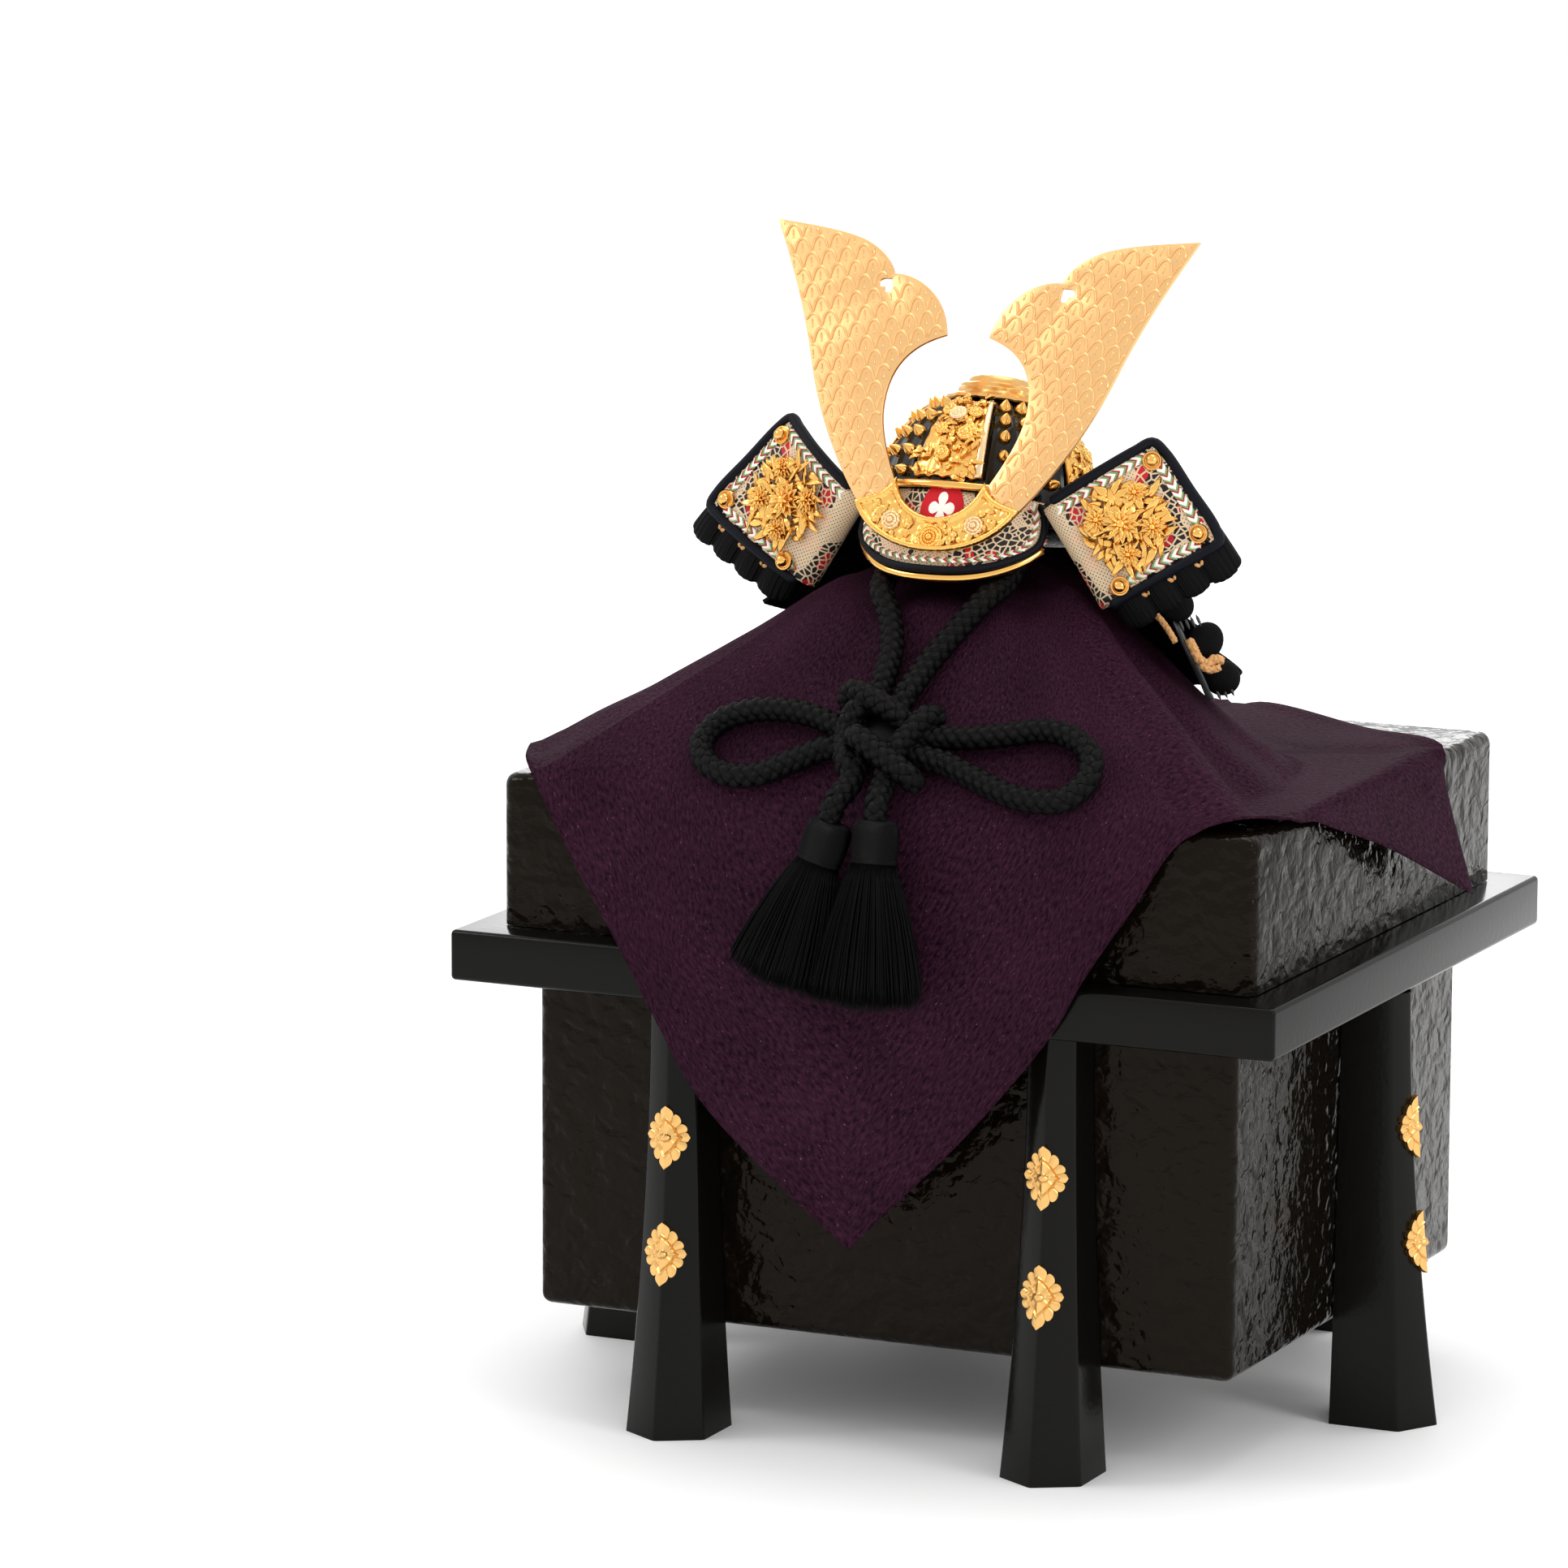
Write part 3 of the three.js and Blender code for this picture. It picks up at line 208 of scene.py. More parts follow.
# Finishes
def wrinkled_lacquer(name):
    # Gloss black lacquer over embossed paper: shallow dents 3 to 8 mm long break its highlights
    material, tree, shader, place = new_finish(name, {"Base Color": chosen("lacquer"), "Roughness": 0.13,
                                                      "Specular IOR Level": 0.11,
                                                      "Specular Tint": linear("#fff0de")})
    warp = add(tree, "TexNoise", {"Vector": place.outputs["Object"], "Scale": 160.0, "Detail": 2.0})
    spread = add(tree, "VectorMath", {0: warp.outputs["Color"], "Scale": 0.009}, operation="SCALE")
    moved = add(tree, "VectorMath", {0: place.outputs["Object"], 1: spread.outputs[0]}, operation="ADD")
    drawn = add(tree, "Mapping", {"Vector": moved.outputs[0], "Scale": (1.0, 1.0, 1.4)})
    dents = add(tree, "TexVoronoi", {"Vector": drawn.outputs[0], "Scale": 190.0, "Smoothness": 1.0},
                feature="SMOOTH_F1")
    creases = add(tree, "TexNoise", {"Vector": drawn.outputs[0], "Scale": 420.0, "Detail": 2.0})
    height = add(tree, "Math", {0: creases.outputs["Fac"], 1: 0.3, 2: dents.outputs["Distance"]},
                 operation="MULTIPLY_ADD")
    bump = add(tree, "Bump", {"Height": height.outputs[0], "Strength": 0.8, "Distance": 0.0009})
    tree.links.new(bump.outputs[0], shader.inputs["Normal"])
    return material


def smooth_lacquer(name):
    # Sprayed lacquer on the rim board and legs: near black, with a faint orange peel
    material, tree, shader, place = new_finish(name, {"Base Color": linear("#0b0a08"), "Roughness": 0.17,
                                                      "Specular IOR Level": 0.12})
    peel = add(tree, "TexNoise", {"Vector": place.outputs["Object"], "Scale": 700.0, "Detail": 1.0})
    bump = add(tree, "Bump", {"Height": peel.outputs["Fac"], "Strength": 0.12, "Distance": 0.0002})
    tree.links.new(bump.outputs[0], shader.inputs["Normal"])
    return material


def bowl_lacquer(name):
    # Gloss lacquer on metal: black, with a slightly softer bloom in patches
    material, tree, shader, place = new_finish(name, {"Base Color": linear("#090908"), "Roughness": 0.12,
                                                      "Specular IOR Level": 0.3})
    bloom = add(tree, "TexNoise", {"Vector": place.outputs["Object"], "Scale": 160.0, "Detail": 2.0})
    rough = add(tree, "MapRange", {"Value": bloom.outputs["Fac"], "To Min": 0.08, "To Max": 0.2})
    tree.links.new(rough.outputs[0], shader.inputs["Roughness"])
    return material


def gilt(name, colour, low, high, grain, depth):
    # Gold plate: its roughness drifts between low and high over patches of some millimetres
    material, tree, shader, place = new_finish(name, {"Base Color": colour, "Metallic": 1.0})
    patches = add(tree, "TexNoise", {"Vector": place.outputs["Object"], "Scale": 350.0, "Detail": 3.0})
    rough = add(tree, "MapRange", {"Value": patches.outputs["Fac"], "From Min": 0.3, "From Max": 0.7,
                                   "To Min": low, "To Max": high})
    tree.links.new(rough.outputs[0], shader.inputs["Roughness"])
    fine = add(tree, "TexNoise", {"Vector": place.outputs["Object"], "Scale": grain, "Detail": 2.0})
    bump = add(tree, "Bump", {"Height": fine.outputs["Fac"], "Strength": depth, "Distance": 0.0002})
    tree.links.new(bump.outputs[0], shader.inputs["Normal"])
    return material


def bright_gilt(name):
    # Polished plate on beads, studs and bars: mirror bright, with no grain to see
    return gilt(name, linear("#eeb865"), 0.08, 0.18, 900.0, 0.03)


def cast_gilt(name):
    # Cast and polished plate with a cloudy bloom in its hollows
    return gilt(name, chosen("gold"), 0.14, 0.34, 1400.0, 0.25)


def satin_gilt(name):
    # Satin plate on the horns: soft highlights, no mirror
    return gilt(name, linear("#efc084"), 0.3, 0.42, 2600.0, 0.1)


def crown_gilt(name):
    # Bead-blasted plate on the crown and the leg fittings: even and dull
    return gilt(name, linear("#e8b871"), 0.26, 0.38, 1800.0, 0.15)


def pale_gilt(name):
    # Thin gold wash over silver on the small flowers and the flat strips: paler than the castings
    return gilt(name, linear("#efd0a2"), 0.2, 0.35, 2000.0, 0.3)


def printed_leather(name):
    # Printed leather: cream, with rows of fine dots, cracked black patches toward its ends and a few red ones
    material, tree, shader, place = new_finish(name, {"Base Color": chosen("leather"), "Roughness": 0.5,
                                                      "Specular IOR Level": 0.3})
    turned = add(tree, "Mapping", {"Vector": place.outputs["UV"], "Rotation": (0, 0, 0.6)})
    dots = add(tree, "TexVoronoi", {"Vector": turned.outputs[0], "Scale": 1.3, "Randomness": 0.1},
               voronoi_dimensions="2D")
    dot = add(tree, "Math", {0: dots.outputs["Distance"], 1: 0.19}, operation="LESS_THAN")
    cells = add(tree, "TexVoronoi", {"Vector": turned.outputs[0], "Scale": 0.62}, feature="DISTANCE_TO_EDGE",
                voronoi_dimensions="2D")
    inside = add(tree, "Math", {0: cells.outputs["Distance"], 1: 0.12}, operation="GREATER_THAN")
    zones = add(tree, "TexNoise", {"Vector": turned.outputs[0], "Scale": 0.13, "Detail": 0.0},
                noise_dimensions="2D")
    across = add(tree, "SeparateXYZ", {"Vector": place.outputs["UV"]})
    ends = add(tree, "MapRange", {"Value": across.outputs["X"], "From Min": 24.0, "From Max": 38.0, "To Max": 0.16})
    zone = add(tree, "Math", {0: zones.outputs["Fac"], 1: ends.outputs[0]}, operation="ADD")
    spotted = add(tree, "Math", {0: zone.outputs[0], 1: 0.58}, operation="GREATER_THAN")
    plain = add(tree, "Math", {0: zone.outputs[0], 1: 0.56}, operation="LESS_THAN")
    reds = add(tree, "TexNoise", {"Vector": turned.outputs[0], "Scale": 0.22, "Detail": 0.0, "W": 3.0},
               noise_dimensions="4D")
    red = add(tree, "Math", {0: reds.outputs["Fac"], 1: 0.6}, operation="GREATER_THAN")
    patch = add(tree, "Math", {0: inside.outputs[0], 1: spotted.outputs[0]}, operation="MULTIPLY")
    points = add(tree, "Math", {0: dot.outputs[0], 1: plain.outputs[0]}, operation="MULTIPLY")
    ink = add(tree, "Math", {0: patch.outputs[0], 1: points.outputs[0]}, operation="MAXIMUM")
    tone = add(tree, "Mix", {0: red.outputs[0], 6: linear("#17171a"), 7: linear("#c01722")}, data_type="RGBA")
    colour = add(tree, "Mix", {0: ink.outputs[0], 6: chosen("leather"), 7: tone.outputs[2]}, data_type="RGBA")
    tree.links.new(colour.outputs[2], shader.inputs["Base Color"])
    pores = add(tree, "TexNoise", {"Vector": place.outputs["UV"], "Scale": 5.0, "Detail": 3.0})
    bump = add(tree, "Bump", {"Height": pores.outputs["Fac"], "Strength": 0.25, "Distance": 0.0001})
    tree.links.new(bump.outputs[0], shader.inputs["Normal"])
    return material


def navy_leather(name):
    # Round navy piping round the leather: nearly black, dull
    material, tree, shader, place = new_finish(name, {"Base Color": linear("#0a0c14"), "Roughness": 0.5,
                                                      "Specular IOR Level": 0.12})
    grain = add(tree, "TexNoise", {"Vector": place.outputs["Object"], "Scale": 2200.0, "Detail": 2.0})
    bump = add(tree, "Bump", {"Height": grain.outputs["Fac"], "Strength": 0.4, "Distance": 0.0002})
    tree.links.new(bump.outputs[0], shader.inputs["Normal"])
    return material


def edging_silk(name, colour):
    # Flat silk braid of coloured strands: the thread lies along each strand
    material, tree, shader, place = new_finish(name, {"Base Color": linear(colour), "Roughness": 0.6,
                                                      "Specular IOR Level": 0.12, "Sheen Weight": 0.05,
                                                      "Sheen Roughness": 0.4})
    threads = add(tree, "TexWave", {"Vector": place.outputs["UV"], "Scale": 1.2}, bands_direction="Y")
    bump = add(tree, "Bump", {"Height": threads.outputs["Fac"], "Strength": 0.3, "Distance": 0.0001})
    tree.links.new(bump.outputs[0], shader.inputs["Normal"])
    return material


def black_silk(name, colour, roughness, thread):
    # Twisted silk: black, with a soft shine along its threads, which lie side by side along U
    material, tree, shader, place = new_finish(name, {"Base Color": linear(colour), "Roughness": roughness,
                                                      "Specular IOR Level": 0.1})
    threads = add(tree, "TexWave", {"Vector": place.outputs["UV"], "Scale": thread, "Distortion": 0.6,
                                    "Detail": 1.0}, bands_direction="X")
    fluff = add(tree, "TexNoise", {"Vector": place.outputs["Object"], "Scale": 2600.0, "Detail": 2.0})
    height = add(tree, "Math", {0: fluff.outputs["Fac"], 1: 0.5, 2: threads.outputs["Fac"]},
                 operation="MULTIPLY_ADD")
    bump = add(tree, "Bump", {"Height": height.outputs[0], "Strength": 0.6, "Distance": 0.00015})
    tree.links.new(bump.outputs[0], shader.inputs["Normal"])
    return material


def grey_lacquer(name):
    # Worn lacquer on the small plates that show between the lacing: dark grey with a hard shine
    material, tree, shader, place = new_finish(name, {"Base Color": linear("#2b2c2e"), "Roughness": 0.3})
    wear = add(tree, "TexNoise", {"Vector": place.outputs["Object"], "Scale": 900.0, "Detail": 2.0})
    rough = add(tree, "MapRange", {"Value": wear.outputs["Fac"], "To Min": 0.2, "To Max": 0.5})
    tree.links.new(rough.outputs[0], shader.inputs["Roughness"])
    return material


def cord_silk(name):
    return black_silk(name, "#070606", 0.42, 0.9)


def lace_silk(name):
    return black_silk(name, "#070707", 0.7, 0.8)


def tassel_silk(name):
    return black_silk(name, "#060606", 0.36, 1.2)


def gold_cord(name):
    # Thin twisted cord with gold thread: orange gold, half dull
    material, tree, shader, place = new_finish(name, {"Base Color": linear("#d99f5f"), "Roughness": 0.5,
                                                      "Sheen Weight": 0.2})
    twist = add(tree, "TexWave", {"Vector": place.outputs["UV"], "Scale": 0.5}, bands_direction="DIAGONAL")
    bump = add(tree, "Bump", {"Height": twist.outputs["Fac"], "Strength": 0.7, "Distance": 0.0002})
    tree.links.new(bump.outputs[0], shader.inputs["Normal"])
    return material


def plum_crepe(name):
    # Crepe: plum, with a pebbled grain of about half a millimetre over a random drift of tone. The colour holds
    # painted shade in the grain's low points, a faint painted highlight on its high points, and painted highlights in
    # small pale flecks that stand for light on its high threads
    material, tree, shader, place = new_finish(name, {"Base Color": chosen("crepe"), "Roughness": 0.8,
                                                      "Specular IOR Level": 0.05, "Sheen Weight": 0.03,
                                                      "Sheen Roughness": 0.4, "Sheen Tint": linear("#a03a70")})
    drawn = add(tree, "Mapping", {"Vector": place.outputs["UV"], "Rotation": (0, 0, 0.785), "Scale": (1.0, 0.8, 1)})
    grain = add(tree, "TexNoise", {"Vector": drawn.outputs[0], "Scale": 1.7, "Detail": 2.0, "Roughness": 0.6})
    drift = add(tree, "TexNoise", {"Vector": place.outputs["Object"], "Scale": 45.0, "Detail": 2.0})
    # Grain height, which also drives the bump, plus a random drift of tone; the colour below turns it into painted
    # shade in the pits
    drift_and_grain_shade = add(tree, "Math", {0: drift.outputs["Fac"], 1: 0.25, 2: grain.outputs["Fac"]},
                operation="MULTIPLY_ADD")
    share = add(tree, "MapRange", {"Value": drift_and_grain_shade.outputs[0], "From Min": 0.42, "From Max": 0.86})
    # Painted shade: the grain's low points go nearly to black; light is the faint painted highlight on its high points
    painted_pit_shade = add(tree, "Mix", {0: 0.75, 6: chosen("crepe"), 7: linear("#020001")}, data_type="RGBA")
    light = add(tree, "Mix", {0: 0.05, 6: chosen("crepe"), 7: linear("#a06a8c")}, data_type="RGBA")
    colour = add(tree, "Mix", {0: share.outputs[0], 6: painted_pit_shade.outputs[2], 7: light.outputs[2]}, data_type="RGBA")
    # Painted highlights: small pale flecks that stand for light glinting on high threads
    glint_pattern = add(tree, "TexNoise", {"Vector": drawn.outputs[0], "Scale": 2.8, "Detail": 1.0})
    painted_glints = add(tree, "MapRange", {"Value": glint_pattern.outputs["Fac"], "From Min": 0.7, "From Max": 0.8, "To Max": 0.35})
    painted_glint_colour = add(tree, "Mix", {0: painted_glints.outputs[0], 6: colour.outputs[2], 7: linear("#a06a8c")}, data_type="RGBA")
    tree.links.new(painted_glint_colour.outputs[2], shader.inputs["Base Color"])
    bump = add(tree, "Bump", {"Height": grain.outputs["Fac"], "Strength": 1.0, "Distance": 0.0007})
    tree.links.new(bump.outputs[0], shader.inputs["Normal"])
    return material


def planed_wood(name):
    # Planed pale wood on the hidden post: straight grain up the post
    material, tree, shader, place = new_finish(name, {"Base Color": linear("#b58f63"), "Roughness": 0.6})
    stretched = add(tree, "Mapping", {"Vector": place.outputs["Object"], "Scale": (1, 1, 0.06)})
    grain = add(tree, "TexNoise", {"Vector": stretched.outputs[0], "Scale": 500.0, "Detail": 3.0})
    colour = add(tree, "Mix", {0: grain.outputs["Fac"], 6: linear("#a47d52"), 7: linear("#c9a679")},
                 data_type="RGBA")
    tree.links.new(colour.outputs[2], shader.inputs["Base Color"])
    return material


def white_floor(name):
    material, tree, shader, place = new_finish(name, {"Base Color": linear("#ffffff"), "Roughness": 0.7})
    haze = add(tree, "TexNoise", {"Vector": place.outputs["Object"], "Scale": 3.0})
    colour = add(tree, "Mix", {0: haze.outputs["Fac"], 6: linear("#fefefe"), 7: linear("#ffffff")},
                 data_type="RGBA")
    tree.links.new(colour.outputs[2], shader.inputs["Base Color"])
    return material


FINISHES = {
    "Wrinkled black lacquer": wrinkled_lacquer,
    "Smooth black lacquer": smooth_lacquer,
    "Bowl lacquer": bowl_lacquer,
    "Polished gold plate": bright_gilt,
    "Cast gold plate": cast_gilt,
    "Satin gold plate": satin_gilt,
    "Blasted gold plate": crown_gilt,
    "Pale gold wash": pale_gilt,
    "Printed leather": printed_leather,
    "Navy piping leather": navy_leather,
    "White edging silk": lambda name: edging_silk(name, "#fbf6ee"),
    "Green edging silk": lambda name: edging_silk(name, "#7fa56c"),
    "Red edging silk": lambda name: edging_silk(name, "#c8202a"),
    "Black braid silk": cord_silk,
    "Black lacing silk": lace_silk,
    "Black tassel silk": tassel_silk,
    "Gold thread cord": gold_cord,
    "Worn grey lacquer": grey_lacquer,
    "Plum crepe": plum_crepe,
    "Planed wood": planed_wood,
    "White studio floor": white_floor,
}


def finish(name):
    return bpy.data.materials.get(name) or FINISHES[name](name)


# Shaping
def lay(bm, nu, nv, place, size=(1, 1), material=0, shut=False):
    """Lays nu by nv faces on place(u, v), with a UV map of that size in millimetres."""
    uv = bm.loops.layers.uv.verify()
    verts = bmesh.ops.create_grid(bm, x_segments=nu, y_segments=nv, size=0.5)["verts"]
    at = {vert: (vert.co.x + 0.5, vert.co.y + 0.5) for vert in verts}
    for face in {face for vert in verts for face in vert.link_faces}:
        face.material_index = material
        for loop in face.loops:
            u, v = at[loop.vert]
            loop[uv].uv = (u * size[0], v * size[1])
    for vert, (u, v) in at.items():
        vert.co = place(u, v)
    if shut:
        bmesh.ops.remove_doubles(bm, verts=verts, dist=1e-4)


def respaced(line, step):
    """The points of a line, a step apart."""
    reach = [0.0]
    for a, b in zip(line, line[1:]):
        reach.append(reach[-1] + (b - a).length)
    count = max(2, round(reach[-1] / step))
    points = []
    for i in range(count + 1):
        at = reach[-1] * i / count
        k = min(max(bisect_right(reach, at) - 1, 0), len(line) - 2)
        span = max(reach[k + 1] - reach[k], 1e-9)
        points.append(line[k].lerp(line[k + 1], (at - reach[k]) / span))
    return points


def route(rows, step, fine=16):
    """Points a step apart on the centripetal spline through the rows, the curve that the solids follow."""
    rows = [Vector(row) for row in rows]
    rows = [rows[0] * 2 - rows[1], *rows, rows[-1] * 2 - rows[-2]]
    line = []
    for a, b, c, d in zip(rows, rows[1:], rows[2:], rows[3:]):
        ab, bc, cd = (max((q - p).length, 1e-6) ** 0.5 for p, q in ((a, b), (b, c), (c, d)))
        out = ((b - a) / ab - (c - a) / (ab + bc) + (c - b) / bc) * bc
        into = ((c - b) / bc - (d - b) / (bc + cd) + (d - c) / cd) * bc
        for i in range(fine):
            t = i / fine
            line.append(b * (2 * t**3 - 3 * t**2 + 1) + out * (t**3 - 2 * t**2 + t)
                        + c * (3 * t**2 - 2 * t**3) + into * (t**3 - t**2))
    line.append(rows[-2])
    return respaced(line, step)


def framed(path, side=None):
    """For each point of a path: the point, two crosswise directions and the way on."""
    last = len(path) - 1
    ways = [(path[min(i + 1, last)] - path[max(i - 1, 0)]).normalized() for i in range(last + 1)]
    side = Vector(side) if side else ways[0].orthogonal()
    frames = []
    for at, way in zip(path, ways):
        side = (side - way * side.dot(way)).normalized()
        frames.append((at, side, way.cross(side), way))
    return frames


def sweep(bm, frames, half, sides=8, material=0, blunt=2):
    """Sweeps an oval of the given half sizes along frames. Its ends round off over blunt frames."""
    last = len(frames) - 1
    length = sum((b[0] - a[0]).length for a, b in zip(frames, frames[1:]))

    def place(u, v):
        i = round(v * last)
        at, side, up, _ = frames[i]
        k = min(i, last - i) / blunt
        end = math.sqrt(max(1 - (1 - k) ** 2, 0)) if k < 1 else 1
        return at + side * (math.cos(u * TURN) * half[0] * end) + up * (math.sin(u * TURN) * half[1] * end)

    lay(bm, sides, last, place, (TURN * (half[0] + half[1]) / 2, length), material, shut=True)


def braid(bm, path, radius, pitch=11.5, strands=4, plump=(1.25, 0.85), ripple=0.42, material=0):
    """A round braid: two sets of strands wind opposite ways and pass over and under each other."""
    frames = framed(path)
    step = (path[1] - path[0]).length
    middle = radius - plump[1] - ripple
    for turn in (1, -1):
        for k in range(strands):
            line = []
            for i, (at, side, up, _) in enumerate(frames):
                angle = TURN * (turn * i * step / pitch + k / strands)
                reach = middle + turn * ripple * math.cos(2 * strands * math.pi * i * step / pitch)
                out = side * math.cos(angle) + up * math.sin(angle)
                line.append((at + out * reach, out))
            last = len(line) - 1
            rows = []
            for i, (at, out) in enumerate(line):
                way = (line[min(i + 1, last)][0] - line[max(i - 1, 0)][0]).normalized()
                rows.append((at, way.cross(out).normalized(), out, way))
            sweep(bm, rows, plump, 7, material, blunt=3)
    sweep(bm, frames, (middle - 0.3, middle - 0.3), 8, material, blunt=2)


def seat(surface, u, v, lift=0.0, turn=0.0, step=0.01):
    """A frame on surface(u, v, lift): its X along u, turned by degrees, and its Z outward."""
    at = Vector(surface(u, v, lift))
    up = (Vector(surface(u, v, lift + 1)) - at).normalized()
    along = Vector(surface(u + step, v, lift)) - at
    along = (along - up * along.dot(up)).normalized()
    axes = Matrix((along, up.cross(along), up)).transposed().to_4x4()
    return Matrix.Translation(at) @ axes @ Matrix.Rotation(math.radians(turn), 4, "Z")


def leaf(bm, base, length, width, rise=0.5, lobes=0, curl=0.0, material=0, cells=(8, 4), tip=1.0):
    """A cupped leaf or petal with its foot at the frame base, along X. Lobes cut its edges into points."""
    def place(u, v):
        half = width / 2 * math.sin(math.pi * u ** 0.75) ** 0.8 if 0 < u < 1 else 0
        half *= (1 - u) ** (tip - 1)
        if lobes:
            half *= 1 - 0.4 * ((u * lobes) % 1.0)
        across = v * 2 - 1
        high = rise * math.sin(math.pi * u ** 0.8) * (1 - 0.35 * across * across) + curl * u * u
        high -= 0.3 * rise * math.exp(-(across * 4) ** 2)
        return base @ Vector((u * length, across * half, high))

    lay(bm, cells[0], cells[1], place, (length, width), material, shut=True)


def roundel(bm, base, radius, height, petals=12, rings=2, material=0):
    """A chrysanthemum seen from above: rings of petals round a button."""
    def place(u, v):
        angle, share = u * TURN, v
        ring = min(int(share * (rings + 1)), rings)
        inside = share * (rings + 1) - ring
        count = petals if ring else 1
        ridge = abs(math.cos(angle * count / 2 + ring * math.pi / 2)) if ring else 1
        swell = math.sin(math.pi * min(inside, 1)) ** 0.5 if ring < rings + 1 else 0
        high = height * (1 - 0.55 * share) * (0.45 + 0.55 * swell * (0.4 + 0.6 * ridge)) if share < 1 else 0
        reach = radius * share * (1 - (0.07 * (1 - ridge) if share > 0.9 else 0))
        return base @ Vector((math.cos(angle) * reach, math.sin(angle) * reach, high))

    lay(bm, petals * 4, (rings + 1) * 5, place, (1, 1), material, shut=True)


def dome(bm, base, profile, sides=14, material=0):
    """A turned knob: rows of (radius, height) from its foot to its tip."""
    last = len(profile) - 1

    def place(u, v):
        r, z = profile[round(v * last)]
        return base @ Vector((r * math.cos(u * TURN), r * math.sin(u * TURN), z))

    lay(bm, sides, last, place, (1, 1), material, shut=True)


def outline_plate(rings, cell):
    """A flat plate inside outlines, cut into faces a cell across."""
    bm = bmesh.new()
    edges = []
    for ring in rings:
        verts = [bm.verts.new((x, y, 0)) for x, y in ring]
        edges += [bm.edges.new(pair) for pair in zip(verts, verts[1:] + verts[:1])]
    bmesh.ops.triangle_fill(bm, use_beauty=True, use_dissolve=False, edges=edges)
    for axis in (0, 1):
        low = min(point[axis] for point in rings[0])
        high = max(point[axis] for point in rings[0])
        for k in range(1, int((high - low) / cell) + 1):
            at, way = [0, 0, 0], [0, 0, 0]
            at[axis], way[axis] = low + k * cell, 1
            bmesh.ops.bisect_plane(bm, geom=bm.verts[:] + bm.edges[:] + bm.faces[:], dist=1e-4,
                                   plane_co=at, plane_no=way)
    return bm


def edge_distance(points, rings):
    """How far each flat point is from the nearest outline."""
    points = np.array(points)
    best = np.full(len(points), 1e9)
    for ring in rings:
        ends = np.array(ring)
        for a, b in zip(ends, np.roll(ends, -1, axis=0)):
            along = b - a
            share = np.clip(((points - a) @ along) / max(along @ along, 1e-12), 0, 1)
            gap = points - a - share[:, None] * along
            best = np.minimum(best, np.hypot(gap[:, 0], gap[:, 1]))
    return best


def bezier(start, rows, steps):
    """Points of joined cubic curves, each row giving two controls and an end."""
    points, at = [start], start
    for c1, c2, end in rows:
        for i in range(1, steps + 1):
            t = i / steps
            w = ((1 - t) ** 3, 3 * t * (1 - t) ** 2, 3 * t * t * (1 - t), t**3)
            points.append(tuple(sum(k * p[axis] for k, p in zip(w, (at, c1, c2, end))) for axis in (0, 1)))
        at = end
    return points


def piece(name, bm, finishes, replaced=(), sharp=40, wall=0.0):
    """Makes a piece from a mesh in millimetres, in place, under a name that says what it is, and hides the parts it
    stands for.
    """
    bm.transform(Matrix.Scale(MM, 4))
    mesh = bpy.data.meshes.new(name)
    bm.to_mesh(mesh)
    bm.free()
    mesh.polygons.foreach_set("use_smooth", [True] * len(mesh.polygons))
    mesh.set_sharp_from_angle(angle=math.radians(sharp))
    made = bpy.data.objects.new(name, mesh)
    bpy.context.scene.collection.objects.link(made)
    for one in finishes:
        mesh.materials.append(finish(one))
    if wall:
        solid = made.modifiers.new("Wall", "SOLIDIFY")
        solid.thickness = wall * MM
        solid.offset = -1
    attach(made, "root")
    if replaced:
        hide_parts(*replaced)
    return made


def mirrored(bm):
    bm.transform(Matrix.Scale(-1, 4, (1, 0, 0)))
    bmesh.ops.reverse_faces(bm, faces=bm.faces[:])


HELMET_FRAME = (Matrix.Translation((0, HELMET["y"], HELMET["z"]))
                @ Matrix.Rotation(-math.radians(HELMET["tilt"]), 4, "X"))
HORN_FRAME = (HELMET_FRAME @ Matrix.Translation((0, HORN_PLANE["y"], HORN_PLANE["z"]))
              @ Matrix.Rotation(math.pi / 2 - math.radians(HORN_PLANE["lean"]), 4, "X"))


# Surfaces, in the helmet frame
def bowl_point(deg, up, lift=0.0):
    rise, a = up * math.pi / 2, math.radians(deg)
    r = (BOWL["radius"] + lift) * math.cos(rise)
    return Vector((r * math.sin(a), -r * math.cos(a), (BOWL["height"] + lift) * math.sin(rise)))


def visor_point(u, v, lift=0.0):
    a = math.radians(u * VISOR["half"])
    drop = lerp(VISOR["drop"], VISOR["dropEnd"], abs(u) ** 2.4)
    r = BOWL["radius"] + 0.5 + VISOR["flare"] * v + VISOR["swell"] * math.sin(math.pi * v) + lift
    return Vector((r * math.sin(a), -r * math.cos(a), 1 - drop * v))


def turnback_point(u, v, lift=0.0):
    """The right turn-back: u across from its bend, v down, lift toward its face."""
    t = {key: Vector(TURNBACK[key]) for key in ("innerTop", "innerLow", "outerTop", "outerLow", "face")}
    inner = t["innerTop"].lerp(t["innerLow"], v)
    across = t["outerTop"].lerp(t["outerLow"], v) - inner
    width = across.length
    across.normalize()
    face = t["face"]
    normal = (face - across * face.dot(across)).normalized()
    bend, tail = TURNBACK["bend"], TURNBACK["tail"]
    most = math.radians(TURNBACK["bendTurn"])
    arc = most * bend
    along = u * (width - bend + arc + tail)
    start = inner + across * bend
    if along > arc + tail:
        flat = along - arc - tail
        swell = TURNBACK["bulge"] * math.sin(math.pi * flat / (width - bend))
        return start + across * flat + normal * (lift + swell)
    turn = min((arc + tail - along) / bend, most)
    rest = max(tail - along, 0)
    r = bend + lift
    heading = across * -math.cos(turn) + normal * -math.sin(turn)
    return (start - normal * bend - across * (r * math.sin(turn)) + normal * (r * math.cos(turn))
            + heading * rest)


